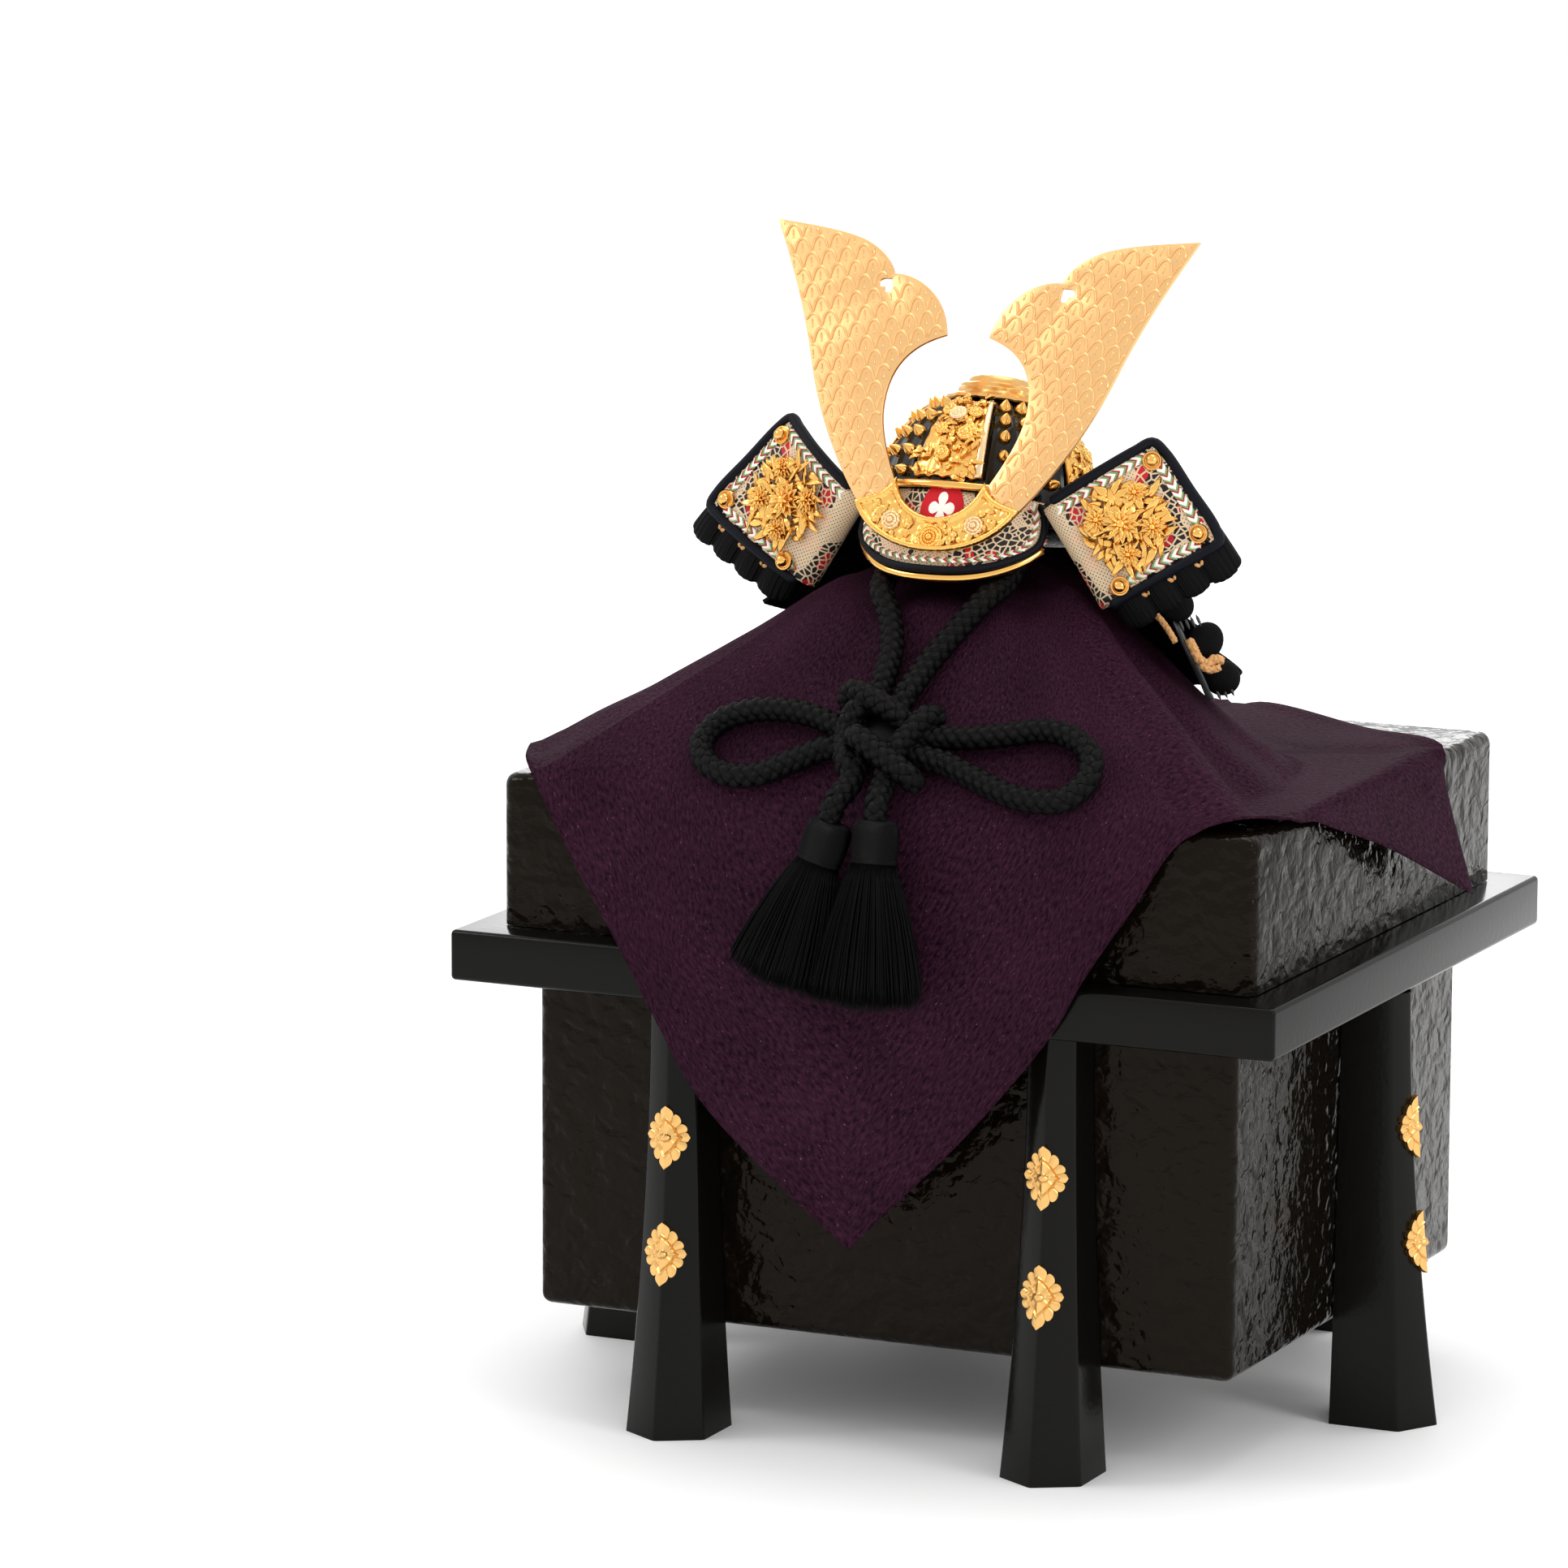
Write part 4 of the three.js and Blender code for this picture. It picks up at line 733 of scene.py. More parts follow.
def lame_point(index, deg, v, out=0.0):
    slope, a = math.radians(GUARD["slope"]), math.radians(deg)
    along = index * GUARD["pitch"] + v * GUARD["height"]
    lift = v * GUARD["step"] + out
    r = GUARD["radius"] + along * math.cos(slope) + lift * math.sin(slope)
    z = GUARD["z"] - along * math.sin(slope) + lift * math.cos(slope)
    return Vector((r * math.sin(a), -r * math.cos(a), z))


def on_slope(row):
    """A point over the cloth's front slope: across, down along it, lift off it."""
    x, down, lift = row
    run = Vector((SLOPE["lowY"] - SLOPE["topY"], SLOPE["lowZ"] - SLOPE["topZ"])).normalized()
    return Vector((x, SLOPE["topY"] + down * run.x + lift * run.y, SLOPE["topZ"] + down * run.y - lift * run.x))


# Pieces
def box_shell(size, open_side=0, through=None):
    """A rounded box. An open side (1 up, -1 down) leaves a wall all round; through cuts a hole of that plan."""
    bm = bmesh.new()
    bmesh.ops.create_cube(bm, size=1)
    high = size["top"] - size["bottom"]
    bmesh.ops.scale(bm, verts=bm.verts, vec=(size["width"], size["depth"], high))
    bmesh.ops.translate(bm, verts=bm.verts, vec=(0, 0, (size["top"] + size["bottom"]) / 2))
    outer = [edge for edge in bm.edges
             if not (open_side and all(v.co.z * open_side > (size["top"] + size["bottom"]) / 2 * open_side + 1
                                       for v in edge.verts))]
    sides = [1, -1] if through else [open_side] if open_side else []
    inner = {}
    for side in sides:
        face = max(bm.faces, key=lambda f: f.normal.z * side)
        inset = (size["width"] - through[0]) / 2 if through else size["wall"]
        bmesh.ops.inset_region(bm, faces=[face], thickness=inset, use_even_offset=True)
        if through:
            for vert in face.verts:
                vert.co.x = math.copysign(through[0] / 2, vert.co.x)
                vert.co.y = math.copysign(through[1] / 2, vert.co.y)
        inner[side] = face
    if through:
        bmesh.ops.bridge_loops(bm, edges=[*inner[1].edges, *inner[-1].edges])
        bmesh.ops.delete(bm, geom=list(inner.values()), context="FACES_ONLY")
    elif open_side:
        sunk = bmesh.ops.extrude_discrete_faces(bm, faces=[inner[open_side]])["faces"][0]
        bmesh.ops.translate(bm, verts=sunk.verts, vec=(0, 0, -open_side * (high - size["wall"])))
    bmesh.ops.bevel(bm, geom=[e for e in outer if e.is_valid], offset=size["round"], segments=5, profile=0.5,
                    affect="EDGES", material=-1)
    bmesh.ops.recalc_face_normals(bm, faces=bm.faces)
    return bm


def leg_row(z, extra):
    flare = max(1 - z / LEG["top"], 0) ** LEG["flare"]
    half, corner, ridge = (lerp(a, b, flare) for a, b in zip(LEG_HEAD, LEG_FOOT))
    return half, corner + extra, ridge + extra


def leg_mesh(extra):
    """A leg with its back at y 0 and its ridge along +Y: its foot's corners are rounded, then it is drawn up."""
    def corners(z):
        half, corner, ridge = leg_row(z, extra)
        return [Vector((x, y, z)) for x, y in ((-half, 0), (half, 0), (half, corner), (0, ridge), (-half, corner))]

    bm = bmesh.new()
    below = corners(0)
    verts = [bm.verts.new(p) for p in below]
    bm.faces.new(verts)
    bmesh.ops.bevel(bm, geom=verts[2:], offset=0.7, segments=3, profile=0.5, affect="VERTICES", material=-1)
    top = next(iter(bm.faces))
    steps = 26
    for i in range(1, steps + 1):
        above = corners(LEG["top"] * i / steps)
        grown = bmesh.ops.extrude_face_region(bm, geom=[top])["geom"]
        if i > 1:
            bmesh.ops.delete(bm, geom=[top], context="FACES_ONLY")
        top = next(item for item in grown if isinstance(item, bmesh.types.BMFace))
        for vert in top.verts:
            near = min(range(5), key=lambda k: (vert.co - below[k]).length)
            vert.co += above[near] - below[near]
        below = above
    bmesh.ops.recalc_face_normals(bm, faces=bm.faces)
    return bm


def fitting_mesh(height, extra):
    """A flower diamond folded over the leg's ridge: round boss, four broad petals, four veins, scalloped rim."""
    bm = bmesh.new()

    def place(u, v):
        angle = u * TURN
        diamond = 1 / (abs(math.cos(angle)) / (FITTING["across"] / 2) + abs(math.sin(angle)) / (FITTING["tall"] / 2))
        share = min(v / 0.95, 1)
        scallop = 0.94 + 0.2 * abs(math.cos(6 * angle)) ** 0.6 - 0.16 * abs(math.cos(2 * angle)) ** 12
        reach = share * diamond * lerp(1, scallop, soft_step(share * 1.6 - 0.6))
        side, up = math.cos(angle) * reach, math.sin(angle) * reach
        half, corner, ridge = leg_row(height + up, extra)
        facet = math.hypot(half, ridge - corner)
        fx, fy = half / facet, (ridge - corner) / facet
        if v >= 0.99:
            lift = 0.05
        elif reach < 0.95:
            lift = 1.2 + 0.85 * math.sqrt(max(1 - (reach / 0.95) ** 2, 0))
        else:
            lift = 0.95 + 0.3 * abs(math.cos(6 * angle)) ** 0.5 * (share > 0.55)
            lift += 0.35 * math.exp(-((math.sin(4 * angle) * reach / 1.6) ** 2)) * (share < 0.62)
            lift -= 0.25 * (abs(share - 0.55) < 0.035)
        fold = min(abs(side) / 0.8, 1)
        sign = math.copysign(fold, side)
        out = lerp(lift / fx, lift * fx, fold)
        return Vector((side * fx + sign * lift * fy, ridge - abs(side) * fy + out, height + up))

    lay(bm, 144, 24, place, (1, 1), 0, shut=True)
    bmesh.ops.recalc_face_normals(bm, faces=bm.faces)
    return bm


def build_chest():
    piece("chest_body_lacquered", box_shell(BODY, 1), ["Wrinkled black lacquer"], ["chest_body"])
    piece("chest_lid_lacquered", box_shell(LID, -1), ["Wrinkled black lacquer"], ["chest_lid"])
    hole = (BODY["width"] + 0.6, BODY["depth"] + 0.6)
    piece("chest_rim_lacquered", box_shell(RIM, 0, hole), ["Smooth black lacquer"], ["chest_rim"])


LEG_ROWS = [
    ("front_left", 180, -LEG["spread"], -LEG["front"], 0), ("front_right", 180, LEG["spread"], -LEG["front"], 0),
    ("back_left", 0, -LEG["spread"], LEG["front"], 0), ("back_right", 0, LEG["spread"], LEG["front"], 0),
    ("side_left", 90, -LEG["side"], 0, LEG["extra"]), ("side_right", -90, LEG["side"], 0, LEG["extra"]),
]


def build_legs():
    for name, turn, x, y, extra in LEG_ROWS:
        spot = Matrix.Translation((x, y, 0)) @ Matrix.Rotation(math.radians(turn), 4, "Z")
        bm = leg_mesh(extra)
        bm.transform(spot)
        piece(f"leg_{name}_lacquered", bm, ["Smooth black lacquer"], [f"leg_{name}"])
        for height, level in zip(FITTING["heights"], ("low", "high")):
            bm = fitting_mesh(height, extra)
            bm.transform(spot)
            piece(f"fitting_{name}_{level}_cast", bm, ["Blasted gold plate"],
                  [f"fitting_{name}_{level}"], sharp=50)


def chin_route():
    left = [on_slope(p) for p in STRAND_LEFT] + [HELMET_FRAME @ Vector(p) for p in BROW_LEFT]
    right = [on_slope(p) for p in STRAND_RIGHT] + [HELMET_FRAME @ Vector(p) for p in BROW_RIGHT]
    hidden = []
    for i in range(HIDDEN["steps"] + 1):
        a = math.radians(lerp(HIDDEN["to"], HIDDEN["from"], i / HIDDEN["steps"]))
        hidden.append(HELMET_FRAME @ Vector((HIDDEN["radius"] * math.sin(a), -HIDDEN["radius"] * math.cos(a),
                                             HIDDEN["z"])))
    return left + hidden + right[::-1]


def build_cords(sizes):
    radius, pitch = sizes.cord_diameter / MM / 2, sizes.braid_pitch / MM
    bm = bmesh.new()
    for rows in KNOT_WRAPS:
        braid(bm, route([on_slope(p) for p in rows], pitch / 24), radius, pitch)
    core = bmesh.ops.create_uvsphere(bm, u_segments=20, v_segments=12, radius=1)["verts"]
    bmesh.ops.scale(bm, verts=core, vec=(7.4, 7.4, 2.6))
    run = Vector((0, SLOPE["lowY"] - SLOPE["topY"], SLOPE["lowZ"] - SLOPE["topZ"])).normalized()
    lean = Matrix.Rotation(math.atan2(-run.z, -run.y), 4, "X")
    bmesh.ops.transform(bm, verts=core, matrix=Matrix.Translation(on_slope((1, 50, 4.6))) @ lean)
    knot = piece("cord_knot_braided", bm, ["Black braid silk"], ["cord_knot"], sharp=60)
    tassels = {side: build_tassel(side, sizes) for side in TASSELS}
    runs = {"chin_cord": chin_route(), "bow_left": [on_slope(p) for p in LOOP_LEFT],
            "bow_right": [on_slope(p) for p in LOOP_RIGHT]}
    for name, rows in runs.items():
        path = route(rows, pitch / 24)
        bm = bmesh.new()
        braid(bm, path, radius, pitch)
        made = piece(name + "_braided", bm, ["Black braid silk"], [name], sharp=60)


def build_tassel(side, sizes):
    row = TASSELS[side]
    top, low = Vector(row["head"]), Vector(row["foot"])
    axis = low - top
    length = axis.length
    axis.normalize()
    across = (Vector((1, 0, 0)) - axis * axis.x).normalized()
    depth = axis.cross(across)
    draw = random.Random(7 if side == "left" else 8)
    bm = bmesh.new()
    rows = [(0, -5), (2.6, -5), (4.4, -4.6), (5.2, -3.6), (5.5, -2), (5.55, 1), (5.4, 3.6), (5.25, 4.1), (5.45, 4.4),
            (5.45, 4.9), (5.1, 5.2), (4.6, 5.4), (4.6, 8), (6.6, length * 0.6), (7.6, length - 4), (0, length - 5)]

    def body(u, v):
        r, z = rows[round(v * (len(rows) - 1))]
        skirt = soft_step((z - 5.4) / (length - 5.4))
        wide = lerp(1, row["width"] / 20, skirt)
        deep = lerp(0.92, 0.56, skirt)
        return (top + axis * z + across * (math.cos(u * TURN) * r * wide) + depth * (math.sin(u * TURN) * r * deep))

    lay(bm, 40, len(rows) - 1, body, (34, 14), 0, shut=True)
    bmesh.ops.recalc_face_normals(bm, faces=bm.faces)
    count = sizes.tassel_threads
    for k in range(count):
        angle = k * 2.39996
        ring = math.sqrt((k + 0.5) / count)
        start = top + axis * 4.6 + across * (math.cos(angle) * 4.9 * ring) + depth * (math.sin(angle) * 4.5 * ring)
        spread = ring * draw.uniform(0.94, 1.06)
        wide = row["width"] / 2 + 2
        foot = (top + axis * (length * draw.uniform(0.95, 1.01) - 1.6 * ring * abs(math.cos(angle)))
                + across * (math.cos(angle) * wide * spread) + depth * (math.sin(angle) * wide * 0.5 * spread))
        hang = start.lerp(foot, 0.5) + across * (math.cos(angle) * 1.9 * ring) + depth * (math.sin(angle) * 1.9 * ring)
        hang += Vector([draw.uniform(-0.5, 0.5) for _ in range(3)])
        path = [start * ((1 - t) ** 2) + hang * (2 * t * (1 - t)) + foot * (t * t)
                for t in (0, 0.18, 0.4, 0.62, 0.82, 1)]
        thick = sizes.thread_diameter / MM / 2
        sweep(bm, framed(path, across), (thick, thick), 4, 0, blunt=0.5)
    return piece(f"tassel_{side}_silk", bm, ["Black tassel silk"], [f"tassel_{side}"], sharp=60)


def folded(point):
    """Adds the cloth's long soft folds to a point of it."""
    for line, half, height in FOLDS:
        nearest = 1e9
        for (ax, ay), (bx, by) in zip(line, line[1:]):
            dx, dy = bx - ax, by - ay
            t = min(max(((point.x - ax) * dx + (point.y - ay) * dy) / (dx * dx + dy * dy), 0), 1)
            nearest = min(nearest, math.hypot(point.x - ax - t * dx, point.y - ay - t * dy))
        point.z += height * math.exp(-((nearest / half) ** 2))
    if point.z > LID["top"] + 6:
        point.z += 0.9 * noise.noise(point * 0.055)
    return point


def around(deg):
    """The tent's shoulder, height and foot in a plan direction."""
    turn = deg % 360
    k = max(i for i, row in enumerate(TENT) if row[0] <= turn)
    a, b = TENT[k], TENT[(k + 1) % len(TENT)]
    span = (b[0] - a[0]) % 360
    share = soft_step(((turn - a[0]) % 360) / span)
    return [lerp(p, q, share) for p, q in zip(a[1:], b[1:])]


def settle(point, margin):
    """Keeps a point of the cloth clear of the lid and the rim board."""
    for size in (LID, RIM):
        half = (size["width"] / 2 + margin, size["depth"] / 2 + margin)
        out = [half[0] - abs(point.x), half[1] - abs(point.y), size["top"] + margin - point.z]
        if min(out) <= 0:
            continue
        axis = out.index(min(out))
        point[axis] = size["top"] + margin if axis == 2 else math.copysign(half[axis], point[axis])
    return point


def edge_from(size, dx, dy, margin):
    reach_x = (size["width"] / 2 + margin) / max(abs(dx), 1e-6)
    depth = size["depth"] / 2 + (POST["y"] if dy < 0 else -POST["y"])
    return min(reach_x, (depth + margin) / max(abs(dy), 1e-6))


def spoke(hem, count):
    """Evenly spaced points of the cloth from the post's head to one point of the hem."""
    ox, oy = hem.x, hem.y - POST["y"]
    reach = math.hypot(ox, oy)
    dx, dy = ox / reach, oy / reach
    edge = edge_from(LID, dx, dy, 1.9)
    shoulder, height, foot = around(math.degrees(math.atan2(dy, dx)))
    rows = [(0, POST["headTop"] + 1.7)]
    for angle, more in HEAD_RINGS:
        size, a = POST["head"] + more, math.radians(angle)
        rows.append((size * math.cos(a), POST["headTop"] - POST["head"] + size * math.sin(a)))
    rows += [(CLOTH["neck"], CLOTH["neckTop"]), (CLOTH["neck"], min(CLOTH["neckLow"], height + 5))]
    crosses = reach > edge
    turn = (edge, CLOTH["lid"]) if crosses else (reach * 0.97, lerp(CLOTH["lid"], hem.z, 0.5))
    tent = [(shoulder, height)] + ([(foot, CLOTH["lid"])] if foot < turn[0] - 3 else [])
    rows += tent
    share = 0.9 if crosses and hem.z < RIM["top"] + 10 else 0.5
    over = ((edge_from(RIM, dx, dy, 1.9), RIM["top"] + 1.8) if crosses and hem.z < RIM["top"]
            else (lerp(turn[0], reach, share), lerp(turn[1], hem.z, share)))
    last = (rows[-1][0], rows[-1][1])
    for t in (0.33, 0.66):
        rows.append((lerp(last[0], turn[0], t), lerp(last[1], turn[1], t)))
    rows += [turn, (lerp(turn[0], over[0], 0.5), lerp(turn[1], over[1], 0.5)), over]
    rows += [(lerp(over[0], reach, 0.5), lerp(over[1], hem.z, 0.5)), (reach, hem.z)]
    line = [(dx * r, POST["y"] + dy * r, z) for r, z in rows]
    path = route(line, 1.5, fine=6)
    path = respaced(path, sum((b - a).length for a, b in zip(path, path[1:])) / count)
    return [settle(p, 1.75) for p in path]


def build_cloth():
    hem = []
    for (a, b), count in zip(zip(HEM_CORNERS, HEM_CORNERS[1:]), (72, 76, 44, 44)):
        side = [HEM[i % len(HEM)] for i in range(a, b + 1)]
        points = route(side, 1.0)
        points = respaced(points, sum((q - p).length for p, q in zip(points, points[1:])) / count)
        hem += points[:-1]
    rows = 72
    grid = [[settle(folded(p), 1.75) for p in spoke(end, rows)] for end in hem]
    bm = bmesh.new()

    def place(u, v):
        return grid[round(u * len(grid)) % len(grid)][round(v * rows)]

    lay(bm, len(grid), rows, place, (260, 130), 0, shut=True)
    bmesh.ops.recalc_face_normals(bm, faces=bm.faces)
    made = piece("display_cloth_crepe", bm, ["Plum crepe"], ["display_cloth"], sharp=180, wall=0.5)


def finish_post():
    post = bpy.data.objects["stand_post"].data
    post.materials.clear()
    post.materials.append(finish("Planed wood"))


def build_guard_ends():
    """Silk lobes, small plates and gold cord at the front ends of the lowest lames."""
    across, down, out = Vector((0.907, 0.404, 0.123)), Vector((0.08, 0.121, -0.989)), Vector((0.414, -0.907, -0.078))
    lobes, plates, cords = bmesh.new(), bmesh.new(), bmesh.new()
    for spot, size, turn in (((50.6, 0.6, -18.6), (4.3, 4.0, 2.4), 25), ((57.3, 5.3, -26.0), (4.0, 4.6, 2.4), 25),
                             ((58.6, 14.6, -33.2), (4.4, 4.2, 2.6), 20)):
        base = Matrix((across, down, out)).transposed().to_4x4()
        base = Matrix.Translation(spot) @ base @ Matrix.Rotation(math.radians(turn), 4, "Z")

        def lobe(u, v):
            rise, a = v * math.pi, u * TURN
            ribs = 1 + 0.035 * abs(math.sin(4 * a))
            return base @ Vector((size[0] * ribs * math.sin(rise) * math.cos(a), size[1] * -math.cos(rise),
                                  size[2] * ribs * math.sin(rise) * math.sin(a)))

        lay(lobes, 36, 16, lobe, (26, 14), 0, shut=True)
    for first, last, count in (((51.2, 0.6, -23.6), (55.9, 2.6, -21.5), 5),
                               ((57.4, 12.9, -38.0), (61.4, 14.7, -36.0), 4)):
        for k in range(count):
            at = Vector(first).lerp(Vector(last), k / (count - 1))
            way = (down + across * 0.45).normalized()
            rows = [at - way * 1.6, at - way * 0.5, at + way * 0.6, at + way * 1.7]
            sweep(plates, framed(rows, across), (0.36, 0.2), 8, 0, blunt=0.6)
    strip = route([(51.0, 0.8, -22.6), (53.2, 2.2, -27), (55.2, 4, -31), (56.4, 8.6, -35.2), (57.2, 12.9, -39)], 0.8)
    sweep(plates, framed(strip, across), (0.75, 0.3), 8, 0, blunt=1)
    for rows, radius, pitch in (
            ([(54.5, 1.3, -26.2), (55.9, 1.9, -28.4), (57.1, 2.8, -30.5), (58.9, 3.7, -31.4), (60.3, 4.8, -30.0),
              (62.0, 6.2, -30.4)], 1.25, 5.2),
            ([(57.6, 2.6, -31.8), (59.6, 3.6, -32.8), (61.8, 5.2, -31.8)], 1.0, 4.4),
            ([(46.4, -4.0, -20.8), (48.6, -2.8, -22.6), (50.8, -1.6, -25.3), (52.3, -0.7, -27.6)], 0.85, 4.0)):
        braid(cords, route(rows, pitch / 16), radius, pitch, 3, (0.52 * radius, 0.34 * radius), 0.16 * radius)
    for name, bm, one in (("lobes", lobes, "Black lacing silk"), ("plates", plates, "Worn grey lacquer"),
                          ("cords", cords, "Gold thread cord")):
        bm.transform(HELMET_FRAME)
        piece(f"guard_end_{name}", bm, [one], sharp=70)


def build_bowl():
    bm = bmesh.new()
    ribs, per = BOWL["ribs"], 8
    inner = BOWL["radius"] - BOWL["wall"]
    rows = [("out", -BOWL["band"])] + [("out", -1.2), ("out", 0)]
    rows += [("up", k / 22) for k in range(1, 23)]

    def place(u, v):
        kind, level = rows[round(v * (len(rows) - 1))]
        deg = u * 360
        phase = ((u * ribs) % 1.0) - 0.5
        lift = BOWL["rib"] * math.exp(-(phase * 9) ** 2)
        if kind == "out":
            p = bowl_point(deg, 0, 0.0)
            return Vector((p.x, p.y, level))
        fade = min(level * 12, 1)
        return bowl_point(deg, level, lift * fade)

    lay(bm, ribs * per, len(rows) - 1, place, (160, 45), 0, shut=True)

    def hollow(u, v):
        rise = max(v * 1.2 - 0.2, 0) * math.pi / 2
        z = (BOWL["height"] - BOWL["wall"]) * math.sin(rise) if v > 1 / 6 else lerp(-BOWL["band"], 0, v * 6)
        r = inner * math.cos(rise)
        return Vector((r * math.sin(u * TURN), -r * math.cos(u * TURN), z))

    lay(bm, ribs * per, 18, hollow, (160, 45), 0, shut=True)
    rims = [e for e in bm.edges if e.is_boundary]
    bmesh.ops.bridge_loops(bm, edges=rims)
    bmesh.ops.recalc_face_normals(bm, faces=bm.faces)
    for quarter in range(4):
        for column in (-1, 0, 1):
            for row in range(RIVET["rows"]):
                base = seat(bowl_point, 45 + quarter * 90 + column * 15, RIVET["low"] + row * RIVET["pitch"])
                dome(bm, base, RIVET["profile"], 14, 1)
    bm.transform(HELMET_FRAME)
    piece("bowl_lacquered", bm, ["Bowl lacquer", "Polished gold plate"], ["bowl"])


def plate_mesh(turn, seed):
    """One relief plate of the bowl: leafy ends, a floral field, a flower and a flat strip on its right side."""
    bm = bmesh.new()
    draw = random.Random(seed)
    span, low, high = PLATE["span"], PLATE["low"], PLATE["high"]

    def surface(u, v, lift=0.0):
        return bowl_point(turn + (u - 0.5) * span, lerp(low, high, v), 0.9 + lift)

    def place(u, v):
        wave = 0.03 * abs(math.sin(u * math.pi * 5)) + 0.015 * math.sin(u * 31 + seed)
        vv = lerp(-wave, 1 + wave, v)
        edge = min(u, 1 - u, v, 1 - v) * 24
        if edge <= 0:
            return surface(u, vv, -0.5)
        return surface(u, vv, 0.15 + 0.35 * noise.noise(Vector((u * 16, v * 13, seed))))

    lay(bm, 40, 34, place, (18, 22))
    for k in range(86):
        u, v = draw.uniform(0.06, 0.84), draw.uniform(-0.02, 1.02)
        base = seat(surface, u, v, draw.uniform(0.1, 0.7), draw.uniform(0, 360))
        leaf(bm, base, draw.uniform(2.2, 4.0), draw.uniform(1.2, 2.1), draw.uniform(0.5, 1.1), 3,
             draw.uniform(-0.2, 0.7))
    for u, v, size in ((0.2, 0.76, 1.7), (0.72, 0.74, 1.6), (0.26, 0.5, 1.5), (0.66, 0.46, 1.9), (0.4, 0.22, 1.8)):
        roundel(bm, seat(surface, u, v, 0.5), size, 1.2, 8, 1)
    dome(bm, seat(surface, 0.44, 0.68, 0.5), [(0, 0), (2.25, 0), (2.3, 0.8), (2.1, 1.2), (1.8, 1.2)], 24, 1)
    roundel(bm, seat(surface, 0.44, 0.68, 1.3), 2.0, 0.9, 12, 2, 1)

    def strip(u, v):
        return surface(lerp(0.88, 1.0, u), lerp(0, 0.98, v), 0.35 + 0.5 * math.sin(math.pi * u) ** 0.3)

    lay(bm, 6, 20, strip, (2.1, 22), 1)
    return bm


def build_plates():
    for i, side in enumerate(("front", "right", "back", "left")):
        bm = plate_mesh(i * 90, i + 1)
        bm.transform(HELMET_FRAME)
        piece(f"bowl_plate_{side}_cast", bm, ["Cast gold plate", "Pale gold wash"],
              [f"bowl_plate_{side}"], sharp=70, wall=0.35)


def build_crown():
    foot, top, radius = CROWN["foot"], CROWN["top"], CROWN["radius"]
    rows = [(0, 27.9), (5.5, 27.8), (radius - 1.6, foot + 0.8), (radius, foot + 0.1), (radius + 0.3, foot + 0.5),
            (radius, foot + 1.2), (radius - 1.2, foot + 1.6), (radius - 2.2, foot + 2.2), (9.8, foot + 2.5),
            (9.6, foot + 3.2), (9.3, foot + 3.4), (9.1, foot + 4.2), (8.6, foot + 4.5), (7.7, foot + 4.7),
            (7.5, foot + 5.2), (7.3, top - 0.6), (7.0, top - 0.2), (6.6, top), (5.0, top), (4.4, top - 0.3),
            (4.0, top - 1.6), (0, top - 1.8)]
    bm = bmesh.new()

    def place(u, v):
        r, z = rows[round(v * (len(rows) - 1))]
        petal = 1 - 0.05 * abs(math.sin(12 * u * math.pi)) if r > radius - 2.5 else 1
        grain = 0.12 * noise.noise(Vector((math.cos(u * TURN) * r, math.sin(u * TURN) * r, z)) * 0.7)
        return Vector((r * petal * math.cos(u * TURN), r * petal * math.sin(u * TURN), z + grain))

    lay(bm, 144, len(rows) - 1, place, (1, 1), 0, shut=True)
    bmesh.ops.recalc_face_normals(bm, faces=bm.faces)
    bm.transform(HELMET_FRAME)
    piece("crown_fitting_turned", bm, ["Blasted gold plate"], ["crown_fitting"], sharp=30)


